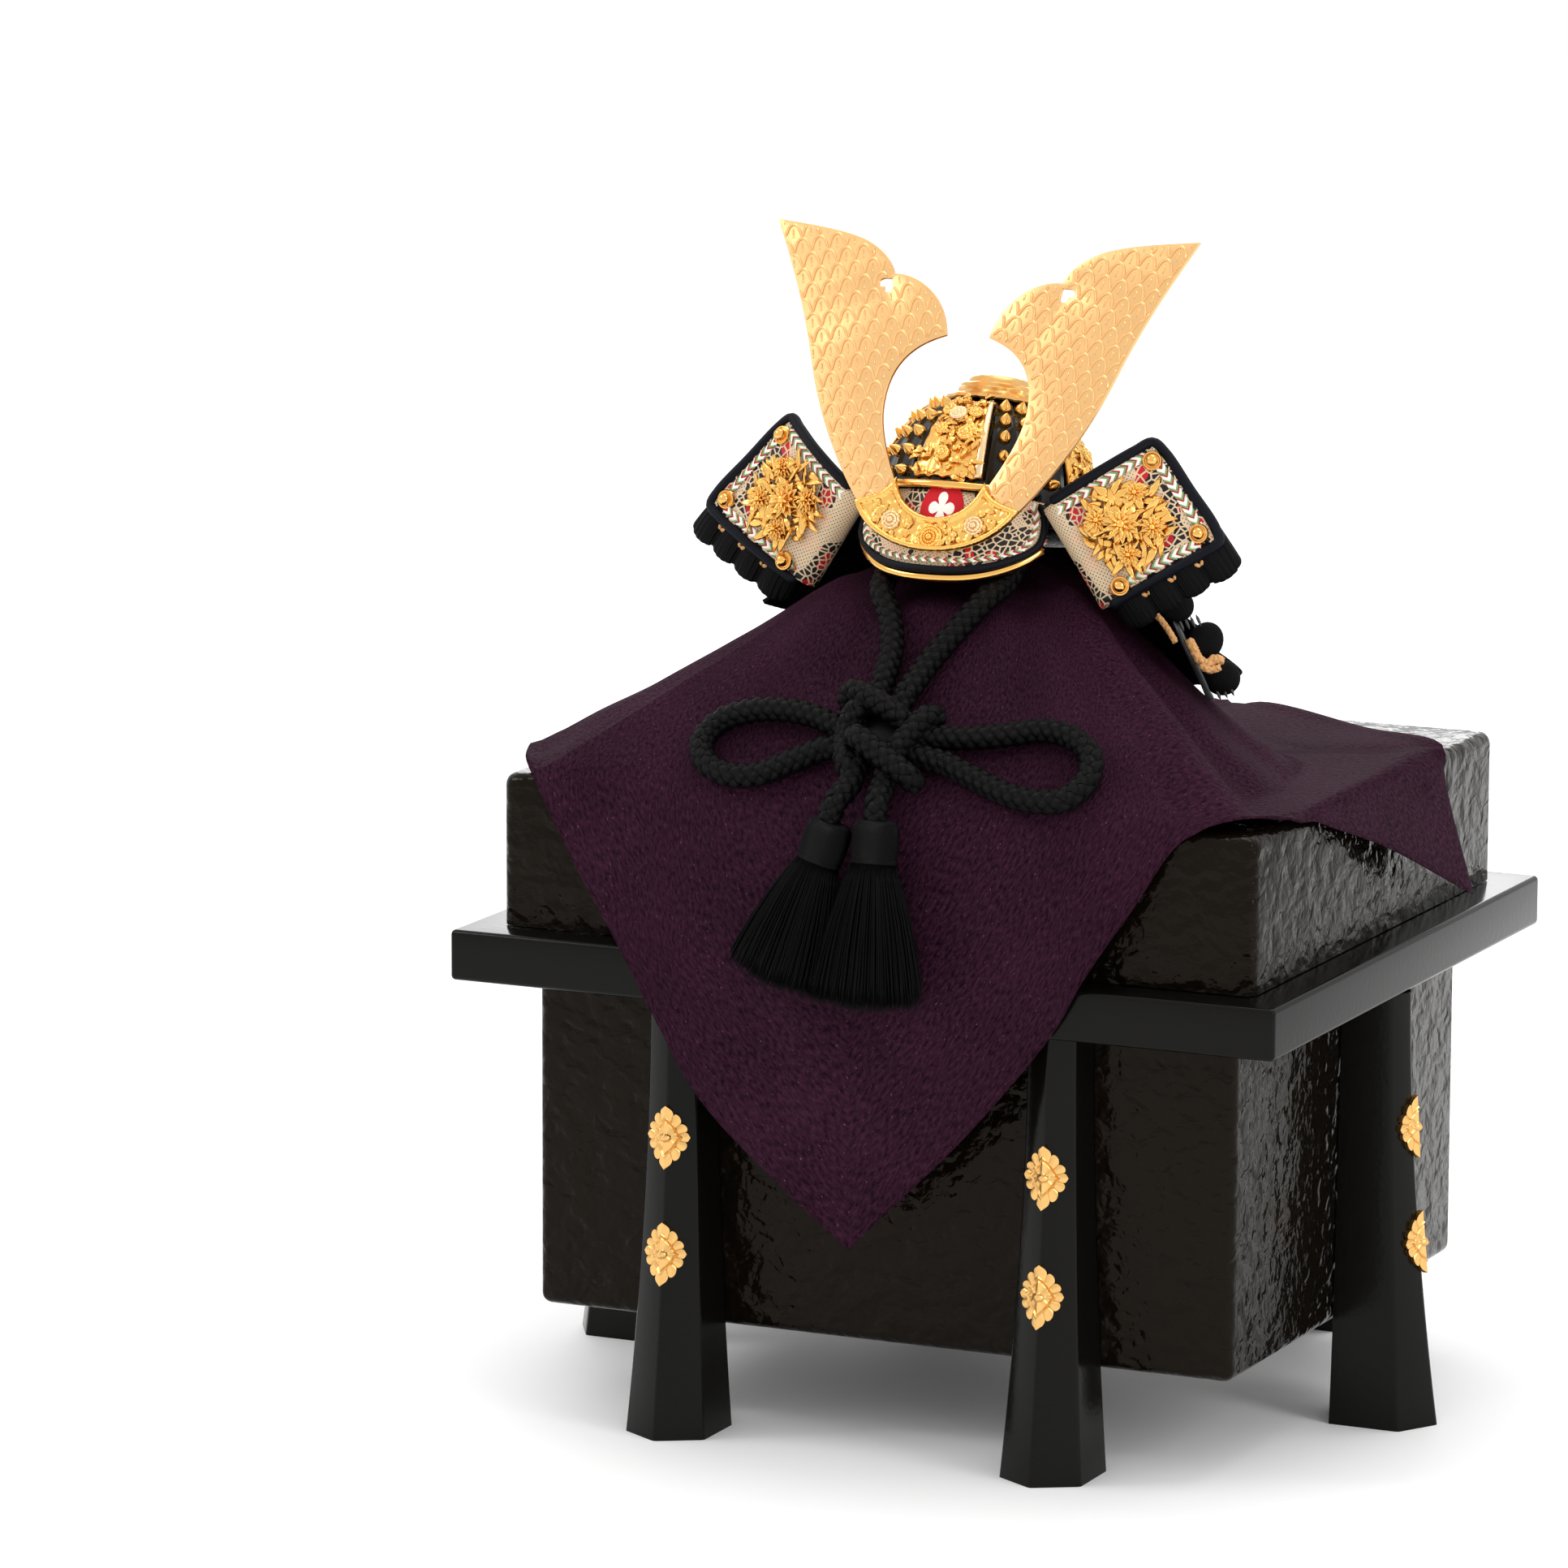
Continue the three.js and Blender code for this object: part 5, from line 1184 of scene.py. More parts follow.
def build_visor():
    bm = bmesh.new()
    lay(bm, 64, 16, lambda u, v: visor_point(u * 2 - 1, v, 0.0), (52, 20))
    bm.transform(HELMET_FRAME)
    bmesh.ops.recalc_face_normals(bm, faces=bm.faces)
    outward = HELMET_FRAME.to_3x3() @ Vector((0, -1, 0))
    if sum(face.normal.dot(outward) for face in bm.faces) < 0:
        bmesh.ops.reverse_faces(bm, faces=bm.faces)
    piece("visor_leather", bm, ["Printed leather"], ["visor"], wall=1.2)

    bm = bmesh.new()
    lip = [visor_point(i / 12 - 1, 1, -0.6) - Vector((0, 0, 1.25)) for i in range(25)]
    sweep(bm, framed(route(lip, 0.9), (0, 0, 1)), (1.05, 1.0), 14, 0, blunt=2)
    bm.transform(HELMET_FRAME)
    piece("visor_rim_bead", bm, ["Polished gold plate"], ["visor_rim"], sharp=80)

    lens = [(0.93, 0.03), (0.97, 0.25), (0.97, 0.6), (0.93, 0.9)]
    loop = lens + [(0.85 - i * 0.085, 0.97) for i in range(21)] + [(-u, v) for u, v in lens[::-1]]
    bm = bmesh.new()
    sweep(bm, framed(route([visor_point(u, v, 0.3) for u, v in loop], 0.8), (0, -1, 0)), (0.95, 0.85), 10, 0)
    bm.transform(HELMET_FRAME)
    piece("visor_piping", bm, ["Navy piping leather"], sharp=80)
    lens = [(0.85, 0.03), (0.885, 0.22), (0.885, 0.52), (0.84, 0.76)]
    loop = lens + [(0.76 - i * 0.076, 0.855) for i in range(21)] + [(-u, v) for u, v in lens[::-1]]
    bm = bmesh.new()
    chevrons(bm, route([visor_point(u, v, 0.1) for u, v in loop], 0.35), 1.0, (0, -1, 0))
    bm.transform(HELMET_FRAME)
    piece("visor_edging", bm, ["White edging silk", "Green edging silk", "Red edging silk"],
          sharp=60)

    bm = bmesh.new()
    for size, material in ((0.34, 0), (0.17, 1)):
        def patch(u, v):
            angle = u * TURN
            edge = 1 if material == 0 else 0.35 + 0.85 * abs(math.cos(2 * angle)) ** 0.6
            reach = v * edge
            return visor_point(0.02 + size * 0.62 * reach * math.cos(angle), 0.22 + size * reach * math.sin(angle),
                               0.06 + material * 0.04)

        lay(bm, 32, 5, patch, (8, 8), material, shut=True)
    bm.transform(HELMET_FRAME)
    piece("visor_flower", bm, ["Red edging silk", "White edging silk"])

    bm = bmesh.new()

    def bar(u, v):
        a, around_bar = math.radians((u - 0.5) * 84), v * TURN
        r = BOWL["radius"] + BOWL["rib"] + 0.85 + 0.75 * math.cos(around_bar)
        return Vector((r * math.sin(a), -r * math.cos(a), 2.3 + 0.95 * math.sin(around_bar)))

    lay(bm, 56, 12, bar, (38, 5), 0, shut=True)
    bmesh.ops.holes_fill(bm, edges=bm.edges, sides=12)
    bmesh.ops.recalc_face_normals(bm, faces=bm.faces)
    bm.transform(HELMET_FRAME)
    piece("brow_bar_round", bm, ["Polished gold plate"], ["brow_bar"])


def chevrons(bm, path, half, side):
    """Flat edging braid: bands of white, green and thin red that run to a point along its middle."""
    frames = framed(path, side)
    step = (path[1] - path[0]).length
    length = step * (len(path) - 1)
    slant = 1.2 * half
    at, turn = 0.0, 0
    while at + 1.3 + slant < length:
        width = (1.2, 0.8, 0.36)[turn % 3]

        def place(u, v):
            across = v * 2 - 1
            s = at + u * width + slant * (1 - abs(across))
            i = min(int(s / step), len(frames) - 2)
            point = frames[i][0].lerp(frames[i + 1][0], s / step - i)
            _, out, over, _ = frames[i]
            lift = 0.25 + 0.22 * math.sin(math.pi * u) ** 0.5 - 0.2 * across**4 + (0.08 if turn % 3 == 2 else 0)
            return point + over * (across * half) + out * lift

        lay(bm, 3, 8, place, (width, half * 2), turn % 3)
        at += width
        turn += 1


def horn_outline():
    rows = [((44, 66.4), (36, 65.6), (30.4, 63.6)), ((26.4, 62), (22.8, 59.4), (21.4, 55.6)),
            ((16.6, 56), (7.4, 52.6), (5.4, 41.4)), ((11.4, 39.4), (18.4, 35.4), (18.2, 24.2)),
            ((18.2, 17.6), (14.6, 10.4), (10.6, 3.2))]
    outline = bezier((53.8, 67.4), rows, 14)
    outline += [(10.6, -1.4), (19.4, -1.4)]
    outline += bezier((19.4, -1.4), [((27.6, 8.8), (34.2, 20), (38.6, 33.2)),
                                     ((42.6, 45.6), (48, 56.6), (53.8, 67.4))], 18)[1:-1]
    half = bezier((0, 2), [((0.9, 1), (2.1, 0.6), (1.95, -0.5)), ((1.8, -1.6), (0.4, -1.7), (0, -0.6)),
                           ((-0.4, -1.7), (-1.8, -1.6), (-1.95, -0.5)), ((-2.1, 0.6), (-0.9, 1), (0, 2))], 8)[:-1]
    heart = [(22.95 + 0.77 * a - 0.64 * b, 52.85 + 0.64 * a + 0.77 * b) for a, b in half]
    return outline, heart


def inside_plate(x, y, rings):
    """Whether a flat point is in the first outline and outside the others."""
    found = False
    for ring in rings:
        for (ax, ay), (bx, by) in zip(ring, ring[1:] + ring[:1]):
            if (ay > y) != (by > y) and x < ax + (y - ay) / (by - ay) * (bx - ax):
                found = not found
    return found


def scale_lines(sizes):
    """Lines of the horn's rows of pointed scales: the arch of each scale and the vein down its middle."""
    wide, pitch = sizes.scale_width / MM, sizes.scale_pitch / MM
    lean = Matrix.Rotation(-math.radians(12), 2)
    for row in range(-2, 24):
        for column in range(-6, 16):
            tip = lean @ Vector(((column + (row % 2) / 2) * wide, row * pitch)) + Vector((2, 2))
            drop = [(k / 9, -pitch * (0.16 * abs(k / 9) + 0.9 * abs(k / 9) ** 3)) for k in range(-9, 10)]
            yield [tip + lean @ Vector((side * wide / 2, down)) for side, down in drop], (0.34, 0.36)
            yield [tip + lean @ Vector((0, -pitch * (0.3 + k * 0.11))) for k in range(7)], (0.18, 0.2)


def horn_mesh(sizes):
    outline, heart = horn_outline()
    bm = outline_plate([outline, heart], 60)
    for vert in bm.verts:
        vert.co.z = -HORN["back"]
    rim = [edge for edge in bm.edges if edge.is_boundary]
    grown = bmesh.ops.extrude_edge_only(bm, edges=rim)["geom"]
    for vert in grown:
        if isinstance(vert, bmesh.types.BMVert):
            vert.co.z = -HORN["back"] - HORN["thick"]
    loop = [edge for edge in grown if isinstance(edge, bmesh.types.BMEdge)]
    bmesh.ops.triangle_fill(bm, use_beauty=True, use_dissolve=False, edges=loop)
    bmesh.ops.bevel(bm, geom=rim, offset=0.12, segments=2, profile=0.5, affect="EDGES", material=-1)
    bmesh.ops.recalc_face_normals(bm, faces=bm.faces)
    for line, half in scale_lines(sizes):
        near = edge_distance([tuple(p) for p in line], [outline, heart])
        run = []
        for p, gap in zip([*line, None], [*near, 0]):
            if p is not None and gap > 0.3 and inside_plate(p.x, p.y, [outline, heart]):
                run.append(Vector((p.x, p.y, -HORN["back"])))
                continue
            if len(run) > 2:
                sweep(bm, framed(run, (0, 0, 1)), (half[1], half[0]), 6, 0, blunt=1)
            run = []
    return bm


def base_outline():
    outline = bezier((-20.9, 0), [((-14, -15), (14, -15), (20.9, 0)), ((16, 1.6), (13.4, 1.6), (11.2, 6.2)),
                                  ((8.4, -5.9), (-8.4, -5.9), (-11.2, 6.2)), ((-13.4, 1.6), (-16, 1.6), (-20.9, 0))],
                     22)
    return outline[:-1]


def build_horns(sizes):
    for side in ("right", "left"):
        bm = horn_mesh(sizes)
        if side == "left":
            mirrored(bm)
        bm.transform(HORN_FRAME)
        piece(f"horn_{side}_embossed", bm, ["Satin gold plate"], [f"horn_{side}"], sharp=55)

    outline = base_outline()
    bm = outline_plate([outline], 0.45)
    verts = bm.verts[:]
    near = edge_distance([(v.co.x, v.co.y) for v in verts], [outline])
    floor_z = 0.3 - HORN["back"] + 0.45
    for vert, gap in zip(verts, near):
        bead = 1.0 * math.sqrt(max(1 - ((gap - 0.75) / 0.75) ** 2, 0)) if gap < 1.5 else 0
        grain = 0.3 * noise.noise(Vector((vert.co.x * 0.9, vert.co.y * 0.9, 3))) if gap > 1.5 else 0
        vert.co.z = floor_z + bead + grain
    rim = [edge for edge in bm.edges if edge.is_boundary]
    grown = bmesh.ops.extrude_edge_only(bm, edges=rim)["geom"]
    for vert in grown:
        if isinstance(vert, bmesh.types.BMVert):
            vert.co.z = 0.3 - HORN["back"]
    loop = [edge for edge in grown if isinstance(edge, bmesh.types.BMEdge)]
    bmesh.ops.triangle_fill(bm, use_beauty=True, use_dissolve=False, edges=loop)
    bmesh.ops.recalc_face_normals(bm, faces=bm.faces)
    draw = random.Random(21)

    def field(u, v, lift=0.0):
        """The crescent's field: u round it from -1 to 1, v across it."""
        a = math.radians(u * 52)
        r = lerp(14.2, 21.0, v)
        return Vector((r * math.sin(a) * 1.1, 12.6 - r * math.cos(a) * 1.12, floor_z + lift))

    for k in range(64):
        u, v = draw.uniform(-0.95, 0.95), draw.uniform(0.35, 0.8)
        spot = Matrix.Translation(field(u, v, 0.1)) @ Matrix.Rotation(draw.uniform(0, TURN), 4, "Z")
        leaf(bm, spot, draw.uniform(1.8, 3.0), draw.uniform(1.0, 1.7), draw.uniform(0.35, 0.7), 3,
             draw.uniform(0, 0.3))
    roundel(bm, Matrix.Translation(field(0, 0.6, 0.1)), 3.3, 1.4, 14, 3)
    for u in (-0.62, 0.62):
        roundel(bm, Matrix.Translation(field(u, 0.55, 0.15)), 2.5, 1.3, 10, 2, 1)
    bm.transform(HORN_FRAME)
    piece("horn_base_cast", bm, ["Cast gold plate", "Pale gold wash"], ["horn_base"], sharp=60)


def peony_mesh(seed):
    """A spiky peony on the turn-back's face: pointed veined leaves, small flowers and a large one."""
    bm = bmesh.new()
    draw = random.Random(seed)
    middle = (0.62, 0.5)
    for k in range(84):
        angle = k * 2.39996
        out = math.sqrt((k + 0.5) / 84)
        u, v = middle[0] + 0.235 * out * math.cos(angle), middle[1] + 0.37 * out * math.sin(angle)
        way = -math.degrees(angle) + draw.uniform(-75, 75)
        base = seat(turnback_point, u, v, 0.35 + draw.uniform(0, 1.3) * (1 - 0.6 * out), way)
        base = base @ Matrix.Rotation(math.radians(draw.uniform(-28, 28)), 4, "X")
        leaf(bm, base @ Matrix.Translation((-1.6, 0, 0)), draw.uniform(3.8, 6.2), draw.uniform(1.6, 2.6),
             draw.uniform(0.6, 1.2), 0, draw.uniform(0.0, 0.9), cells=(8, 4), tip=1.25)
    for u, v, size in ((0.6, 0.48, 1.05), (0.49, 0.34, 0.7), (0.74, 0.64, 0.7), (0.55, 0.74, 0.6), (0.75, 0.3, 0.6)):
        for ring, (count, reach, tall) in enumerate(((13, 4.2, 0.7), (11, 3.2, 1.3), (8, 2.1, 1.7))):
            for k in range(count):
                turn = k * 360 / count + ring * 13 + draw.uniform(-6, 6)
                base = seat(turnback_point, u, v, 1.2 + (0.5 + ring * 0.45) * size, turn)
                leaf(bm, base @ Matrix.Translation((0.3, 0, 0)), reach * size, reach * 0.46 * size,
                     tall * 0.5 * size, 0, tall * size * 0.8, cells=(5, 3), tip=1.1)
        dome(bm, seat(turnback_point, u, v, 1.4 + 1.1 * size),
             [(1.1 * size, 0), (1.1 * size, 0.6), (0.7 * size, 1.1), (0, 1.2)], 8)
    return bm


def build_turnbacks():
    for side in ("right", "left"):
        parts = {}
        bm = bmesh.new()
        lay(bm, 60, 20, lambda u, v: turnback_point(u, v, 0.0), (42.4, 27.4))
        bmesh.ops.recalc_face_normals(bm, faces=bm.faces)
        if sum(face.normal.y for face in bm.faces if face.calc_center_median().x > 40) > 0:
            bmesh.ops.reverse_faces(bm, faces=bm.faces)
        parts["leather"] = (bm, ["Printed leather"], "printed_leather", [f"turnback_{side}"], 180, 1.3)

        bm = bmesh.new()
        loop = [(0.3, -0.02), (0.5, -0.02), (0.7, -0.02), (0.88, -0.02), (0.985, -0.01), (1.01, 0.12), (1.01, 0.5),
                (1.01, 0.88), (0.985, 1.01), (0.88, 1.03), (0.7, 1.03), (0.5, 1.03), (0.3, 1.03)]
        path = route([turnback_point(u, v, -0.4) for u, v in loop], 0.8)
        sweep(bm, framed(path, (0, -1, 0)), (1.35, 1.3), 10)
        parts["piping"] = (bm, ["Navy piping leather"], "printed_leather", [], 80, 0)

        bm = bmesh.new()
        loop = [(0.31, 0.075), (0.5, 0.075), (0.7, 0.075), (0.9, 0.075), (0.935, 0.14), (0.945, 0.3), (0.945, 0.7),
                (0.935, 0.86), (0.9, 0.925), (0.7, 0.925), (0.5, 0.925), (0.31, 0.925)]
        chevrons(bm, route([turnback_point(u, v, 0.0) for u, v in loop], 0.35), 1.15, (0, -1, 0))
        parts["edging"] = (bm, ["White edging silk", "Green edging silk", "Red edging silk"], "printed_leather",
                           [], 60, 0)

        parts["peony"] = (peony_mesh(5 if side == "right" else 6), ["Cast gold plate"], "relief_gilt",
                          [f"peony_{side}"], 70, 0.3)

        for row, u, v in (("top", 0.925, 0.13), ("low", 0.925, 0.87), ("inner", 0.42, 0.93)):
            bm = bmesh.new()
            base = seat(turnback_point, u, v, 0.5)
            dome(bm, base, [(0, -0.2), (2.3, -0.2), (2.4, 0.1), (2.2, 0.5), (1.85, 0.55), (1.65, 0.3), (1.4, 0.35),
                            (1.5, 0.9), (1.4, 1.5), (1.05, 2.0), (0.55, 2.25), (0, 2.35)], 20)
            parts[f"stud_{row}"] = (bm, ["Polished gold plate"], "fitting_gilt", [f"turnback_stud_{row}_{side}"],
                                    40, 0)

        bm = bmesh.new()

        def pad(u, v):
            lobe = (u * 4) % 1.0
            swell = math.sin(math.pi * lobe) ** 0.4 * math.sin(math.pi * min(v * 0.8 + 0.15, 1)) ** 0.6
            ribs = abs(math.sin(u * 4 * 6 * math.pi))
            drop = 0.07 * math.sin(math.pi * lobe) ** 0.5 + 0.012 * ribs
            p = turnback_point(lerp(0.36, 1.0, u), lerp(0.86, 1.22 + drop, v), 0.0)
            return p + Vector(TURNBACK["face"]) * (-TURNBACK["thick"] - 2.4 + 2.4 * swell + 0.12 * ribs)

        lay(bm, 144, 14, pad, (30, 12))
        parts["lame"] = (bm, ["Black lacing silk"], "laced_silk", [f"turnback_lame_{side}"], 80, 1.5)

        bm = bmesh.new()
        for k in range(1, 4):
            u = lerp(0.36, 1.0, k / 4)
            for way in (-1, 1):
                rows = [turnback_point(u + way * 0.028, 1.045, -1.4), turnback_point(u + way * 0.018, 1.09, -0.7),
                        turnback_point(u, 1.115, -0.9)]
                sweep(bm, framed(route(rows, 0.35), (0, -1, 0)), (0.5, 0.5), 8, 0)
        parts["lacing_loops"] = (bm, ["Gold thread cord"], "laced_silk", [], 80, 0)

        for key, (bm, finishes, slot, replaced, sharp, wall) in parts.items():
            bmesh.ops.remove_doubles(bm, verts=bm.verts, dist=1e-4)
            if side == "left":
                mirrored(bm)
            bm.transform(HELMET_FRAME)
            piece(f"turnback_{side}_{key}", bm, finishes, replaced, sharp, wall)


def build_neck_guard(sizes):
    pitch = sizes.lace_pitch / MM
    for index, front in enumerate(LAME_FRONTS):
        radius = lame_point(index, 90, 0.5).x
        count = round(math.radians(360 - 2 * front) * radius / pitch)
        bm = bmesh.new()

        def place(u, v):
            deg = lerp(front, 360 - front, u)
            rib = abs(math.sin(u * count * math.pi))
            tuck = 0.5 * math.sin(math.pi * min(max(v, 0), 1)) ** 0.6
            return lame_point(index, deg, v, GUARD["thick"] - 0.6 + tuck * (0.45 + 0.55 * rib))

        lay(bm, count * 5, 9, place, (count * pitch, GUARD["height"]))
        bmesh.ops.recalc_face_normals(bm, faces=bm.faces)
        if sum(face.normal.z for face in bm.faces) < 0:
            bmesh.ops.reverse_faces(bm, faces=bm.faces)
        bm.transform(HELMET_FRAME)
        piece(f"neck_lame_{index + 1}_laced", bm, ["Black lacing silk"], [f"neck_lame_{index + 1}"],
              sharp=80, wall=1.1)


def build_stage():
    bm = bmesh.new()
    bmesh.ops.create_grid(bm, x_segments=8, y_segments=8, size=12.0)
    mesh = bpy.data.meshes.new("studio_floor")
    bm.to_mesh(mesh)
    bm.free()
    floor = bpy.data.objects.new("studio_floor", mesh)
    mesh.materials.append(finish("White studio floor"))
    bpy.context.scene.collection.objects.link(floor)

    world = bpy.data.worlds.new("Studio")
    world.use_nodes = True
    background = world.node_tree.nodes["Background"]
    background.inputs["Color"].default_value = linear("#ffffff")
    background.inputs["Strength"].default_value = 1.0
    bpy.context.scene.world = world
    bpy.context.scene.view_settings.view_transform = "Standard"
    for name, spot, size, power in LIGHTS:
        data = bpy.data.lights.new(name, "AREA")
        data.shape, data.size, data.size_y, data.energy = "RECTANGLE", size[0], size[1], power
        light = bpy.data.objects.new(name, data)
        light.location = spot
        light.rotation_euler = (Vector((0, 0, 0.15)) - Vector(spot)).to_track_quat("-Z", "Y").to_euler()
        bpy.context.scene.collection.objects.link(light)


def build_camera():
    a, e, r = (math.radians(CAMERA[key]) for key in ("azimuth", "elevation", "roll"))
    back = Vector((math.sin(a) * math.cos(e), -math.cos(a) * math.cos(e), math.sin(e)))
    right = (-back).cross(Vector((0, 0, 1))).normalized()
    up = right.cross(-back)
    right, up = right * math.cos(r) + up * math.sin(r), up * math.cos(r) - right * math.sin(r)
    data = bpy.data.cameras.new("Camera")
    data.sensor_width = 36
    data.lens = CAMERA["lens"]
    data.clip_start, data.clip_end = 0.01, 100
    camera = bpy.data.objects.new("Camera", data)
    spot = (Vector(CAMERA["target"]) + back * CAMERA["distance"]) * MM
    camera.matrix_world = Matrix.Translation(spot) @ Matrix((right, up, back)).transposed().to_4x4()
    bpy.context.scene.collection.objects.link(camera)
    bpy.context.scene.camera = camera


# Add-on
class KabutoSizes(bpy.types.PropertyGroup):
    cord_diameter: bpy.props.FloatProperty(
        name="Cord diameter", description="Diameter of the round chin cord", default=0.0062, unit="LENGTH")
    braid_pitch: bpy.props.FloatProperty(
        name="Braid pitch", description="Length in which a strand goes once round the cord", default=0.0115,
        unit="LENGTH")
    tassel_threads: bpy.props.IntProperty(
        name="Tassel threads", description="How many threads hang in each tassel", default=900, min=50)
    thread_diameter: bpy.props.FloatProperty(
        name="Thread diameter", description="Diameter of a drawn tassel thread", default=0.00045, unit="LENGTH")
    scale_width: bpy.props.FloatProperty(
        name="Scale width", description="Width of one scale embossed on the horns", default=0.00443, unit="LENGTH")
    scale_pitch: bpy.props.FloatProperty(
        name="Scale pitch", description="Distance between rows of scales on the horns", default=0.00382,
        unit="LENGTH")
    lace_pitch: bpy.props.FloatProperty(
        name="Lace pitch", description="Distance between two upright cords of the neck guard", default=0.0022,
        unit="LENGTH")


class KabutoColours(bpy.types.PropertyGroup):
    gold: bpy.props.FloatVectorProperty(
        name="Gold", description="Colour of the cast gold plate", default=linear("#f4bf68")[:3], subtype="COLOR",
        min=0, max=1)
    lacquer: bpy.props.FloatVectorProperty(
        name="Lacquer", description="Colour of the wrinkled lacquer on the chest", default=linear("#0c0805")[:3],
        subtype="COLOR", min=0, max=1)
    crepe: bpy.props.FloatVectorProperty(
        name="Crepe", description="Colour of the cloth", default=linear("#2c0e20")[:3], subtype="COLOR", min=0,
        max=1)
    leather: bpy.props.FloatVectorProperty(
        name="Leather", description="Ground colour of the printed leather", default=linear("#dcc3a0")[:3],
        subtype="COLOR", min=0, max=1)


class KABUTO_OT_camera(bpy.types.Operator):
    """Sets the camera at the photograph's viewing angle"""
    bl_idname = "kabuto.camera"
    bl_label = "Camera"
    bl_options = {"REGISTER", "UNDO"}

    def execute(self, context):
        build_camera()
        return {"FINISHED"}


class KABUTO_OT_cords(bpy.types.Operator):
    """Braids the chin cord, its bow, knot and tassels"""
    bl_idname = "kabuto.cords"
    bl_label = "Cords and tassels"
    bl_options = {"REGISTER", "UNDO"}

    def execute(self, context):
        build_cords(context.scene.kabuto_sizes)
        return {"FINISHED"}


class KABUTO_OT_chest(bpy.types.Operator):
    """Builds the chest's body, lid and rim board"""
    bl_idname = "kabuto.chest"
    bl_label = "Chest"
    bl_options = {"REGISTER", "UNDO"}

    def execute(self, context):
        build_chest()
        return {"FINISHED"}


class KABUTO_OT_legs(bpy.types.Operator):
    """Builds the six legs and their gilt fittings"""
    bl_idname = "kabuto.legs"
    bl_label = "Legs"
    bl_options = {"REGISTER", "UNDO"}

    def execute(self, context):
        build_legs()
        return {"FINISHED"}


class KABUTO_OT_cloth(bpy.types.Operator):
    """Drapes the crepe cloth over the post and the lid, and gives the post its wood"""
    bl_idname = "kabuto.cloth"
    bl_label = "Cloth"
    bl_options = {"REGISTER", "UNDO"}

    def execute(self, context):
        build_cloth()
        finish_post()
        return {"FINISHED"}


class KABUTO_OT_bowl(bpy.types.Operator):
    """Builds the ribbed bowl and its rivets"""
    bl_idname = "kabuto.bowl"
    bl_label = "Bowl"
    bl_options = {"REGISTER", "UNDO"}

    def execute(self, context):
        build_bowl()
        return {"FINISHED"}


class KABUTO_OT_plates(bpy.types.Operator):
    """Casts the four relief plates of the bowl"""
    bl_idname = "kabuto.plates"
    bl_label = "Relief plates"
    bl_options = {"REGISTER", "UNDO"}

    def execute(self, context):
        build_plates()
        return {"FINISHED"}


class KABUTO_OT_crown(bpy.types.Operator):
    """Turns the crown fitting"""
    bl_idname = "kabuto.crown"
    bl_label = "Crown"
    bl_options = {"REGISTER", "UNDO"}

    def execute(self, context):
        build_crown()
        return {"FINISHED"}


class KABUTO_OT_visor(bpy.types.Operator):
    """Covers the visor and edges it, and makes the brow bar"""
    bl_idname = "kabuto.visor"
    bl_label = "Visor"
    bl_options = {"REGISTER", "UNDO"}

    def execute(self, context):
        build_visor()
        return {"FINISHED"}


class KABUTO_OT_horns(bpy.types.Operator):
    """Embosses the horns and casts their base"""
    bl_idname = "kabuto.horns"
    bl_label = "Horns"
    bl_options = {"REGISTER", "UNDO"}

    def execute(self, context):
        build_horns(context.scene.kabuto_sizes)
        return {"FINISHED"}


class KABUTO_OT_turnbacks(bpy.types.Operator):
    """Builds the turn-backs, their castings and lacing"""
    bl_idname = "kabuto.turnbacks"
    bl_label = "Turn-backs"
    bl_options = {"REGISTER", "UNDO"}

    def execute(self, context):
        build_turnbacks()
        return {"FINISHED"}


class KABUTO_OT_neck_guard(bpy.types.Operator):
    """Laces the five lames of the neck guard"""
    bl_idname = "kabuto.neck_guard"
    bl_label = "Neck guard"
    bl_options = {"REGISTER", "UNDO"}

    def execute(self, context):
        build_neck_guard(context.scene.kabuto_sizes)
        return {"FINISHED"}


class KABUTO_OT_guard_ends(bpy.types.Operator):
    """Dresses the front ends of the lowest lames"""
    bl_idname = "kabuto.guard_ends"
    bl_label = "Guard ends"
    bl_options = {"REGISTER", "UNDO"}

    def execute(self, context):
        build_guard_ends()
        return {"FINISHED"}


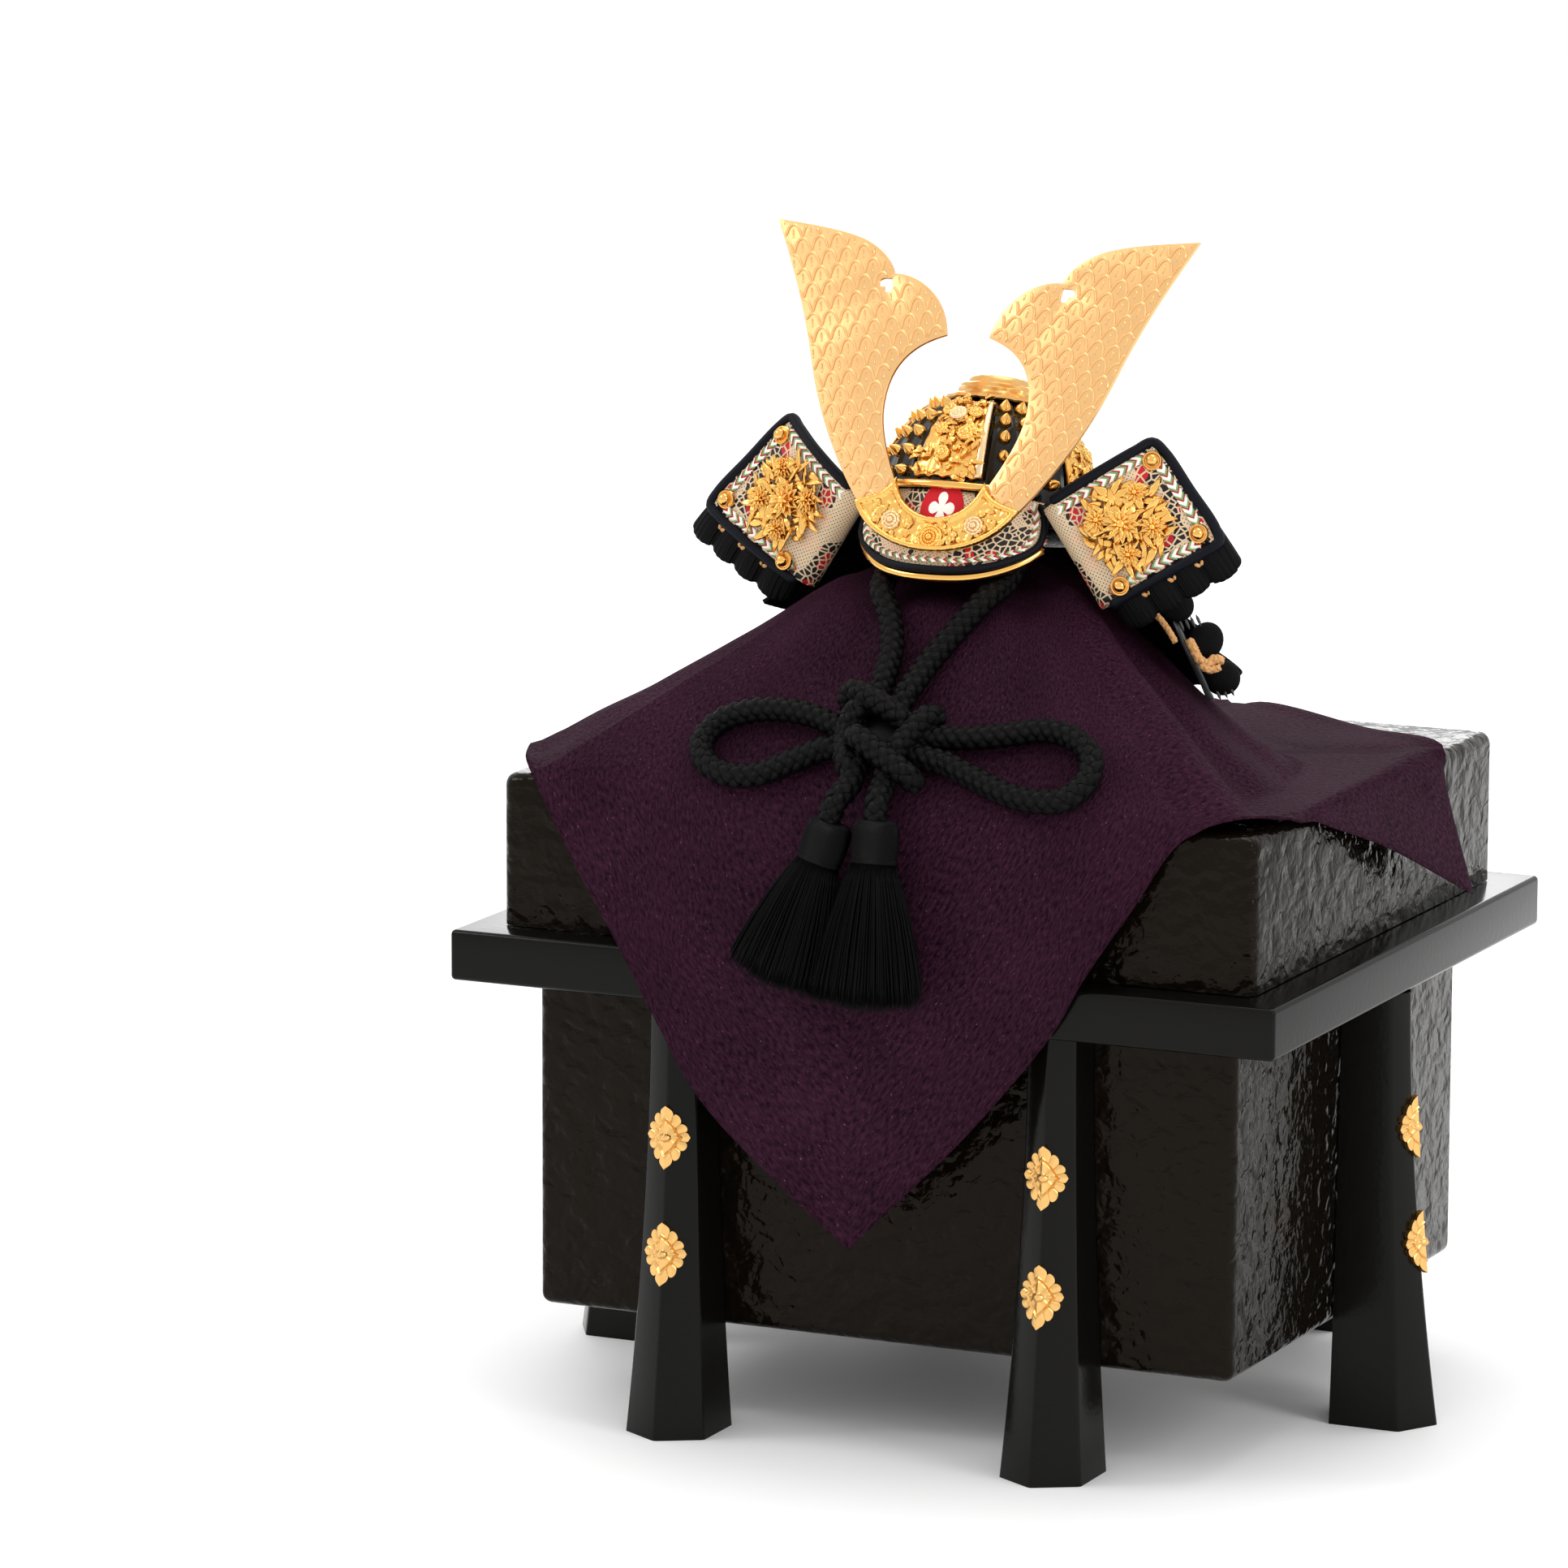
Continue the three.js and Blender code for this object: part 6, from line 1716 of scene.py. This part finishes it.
class KABUTO_OT_stage(bpy.types.Operator):
    """Sets the floor and the studio light"""
    bl_idname = "kabuto.stage"
    bl_label = "Stage"
    bl_options = {"REGISTER", "UNDO"}

    def execute(self, context):
        build_stage()
        return {"FINISHED"}


OPERATORS = (
    KABUTO_OT_camera,
    KABUTO_OT_cords,
    KABUTO_OT_chest,
    KABUTO_OT_legs,
    KABUTO_OT_cloth,
    KABUTO_OT_bowl,
    KABUTO_OT_plates,
    KABUTO_OT_crown,
    KABUTO_OT_visor,
    KABUTO_OT_horns,
    KABUTO_OT_turnbacks,
    KABUTO_OT_neck_guard,
    KABUTO_OT_guard_ends,
    KABUTO_OT_stage,
)


class KABUTO_PT_panel(bpy.types.Panel):
    bl_label = "Display kabuto"
    bl_idname = "KABUTO_PT_panel"
    bl_space_type = "VIEW_3D"
    bl_region_type = "UI"
    bl_category = "Kabuto"

    def draw(self, context):
        sizes = context.scene.kabuto_sizes
        for group in (sizes, context.scene.kabuto_colours):
            for key in group.bl_rna.properties.keys():
                if key not in ("rna_type", "name"):
                    self.layout.prop(group, key)
        for one in OPERATORS:
            self.layout.operator(one.bl_idname)


CLASSES = (KabutoSizes, KabutoColours, *OPERATORS, KABUTO_PT_panel)


def register():
    for one in CLASSES:
        bpy.utils.register_class(one)
    bpy.types.Scene.kabuto_sizes = bpy.props.PointerProperty(type=KabutoSizes)
    bpy.types.Scene.kabuto_colours = bpy.props.PointerProperty(type=KabutoColours)


def unregister():
    del bpy.types.Scene.kabuto_sizes
    del bpy.types.Scene.kabuto_colours
    for one in reversed(CLASSES):
        bpy.utils.unregister_class(one)


def main():
    register()
    bpy.ops.kabuto.camera()
    bpy.ops.kabuto.cords()
    bpy.ops.kabuto.chest()
    bpy.ops.kabuto.legs()
    bpy.ops.kabuto.cloth()
    bpy.ops.kabuto.bowl()
    bpy.ops.kabuto.plates()
    bpy.ops.kabuto.crown()
    bpy.ops.kabuto.visor()
    bpy.ops.kabuto.horns()
    bpy.ops.kabuto.turnbacks()
    bpy.ops.kabuto.neck_guard()
    bpy.ops.kabuto.guard_ends()
    bpy.ops.kabuto.stage()


if __name__ == "__main__":
    main()
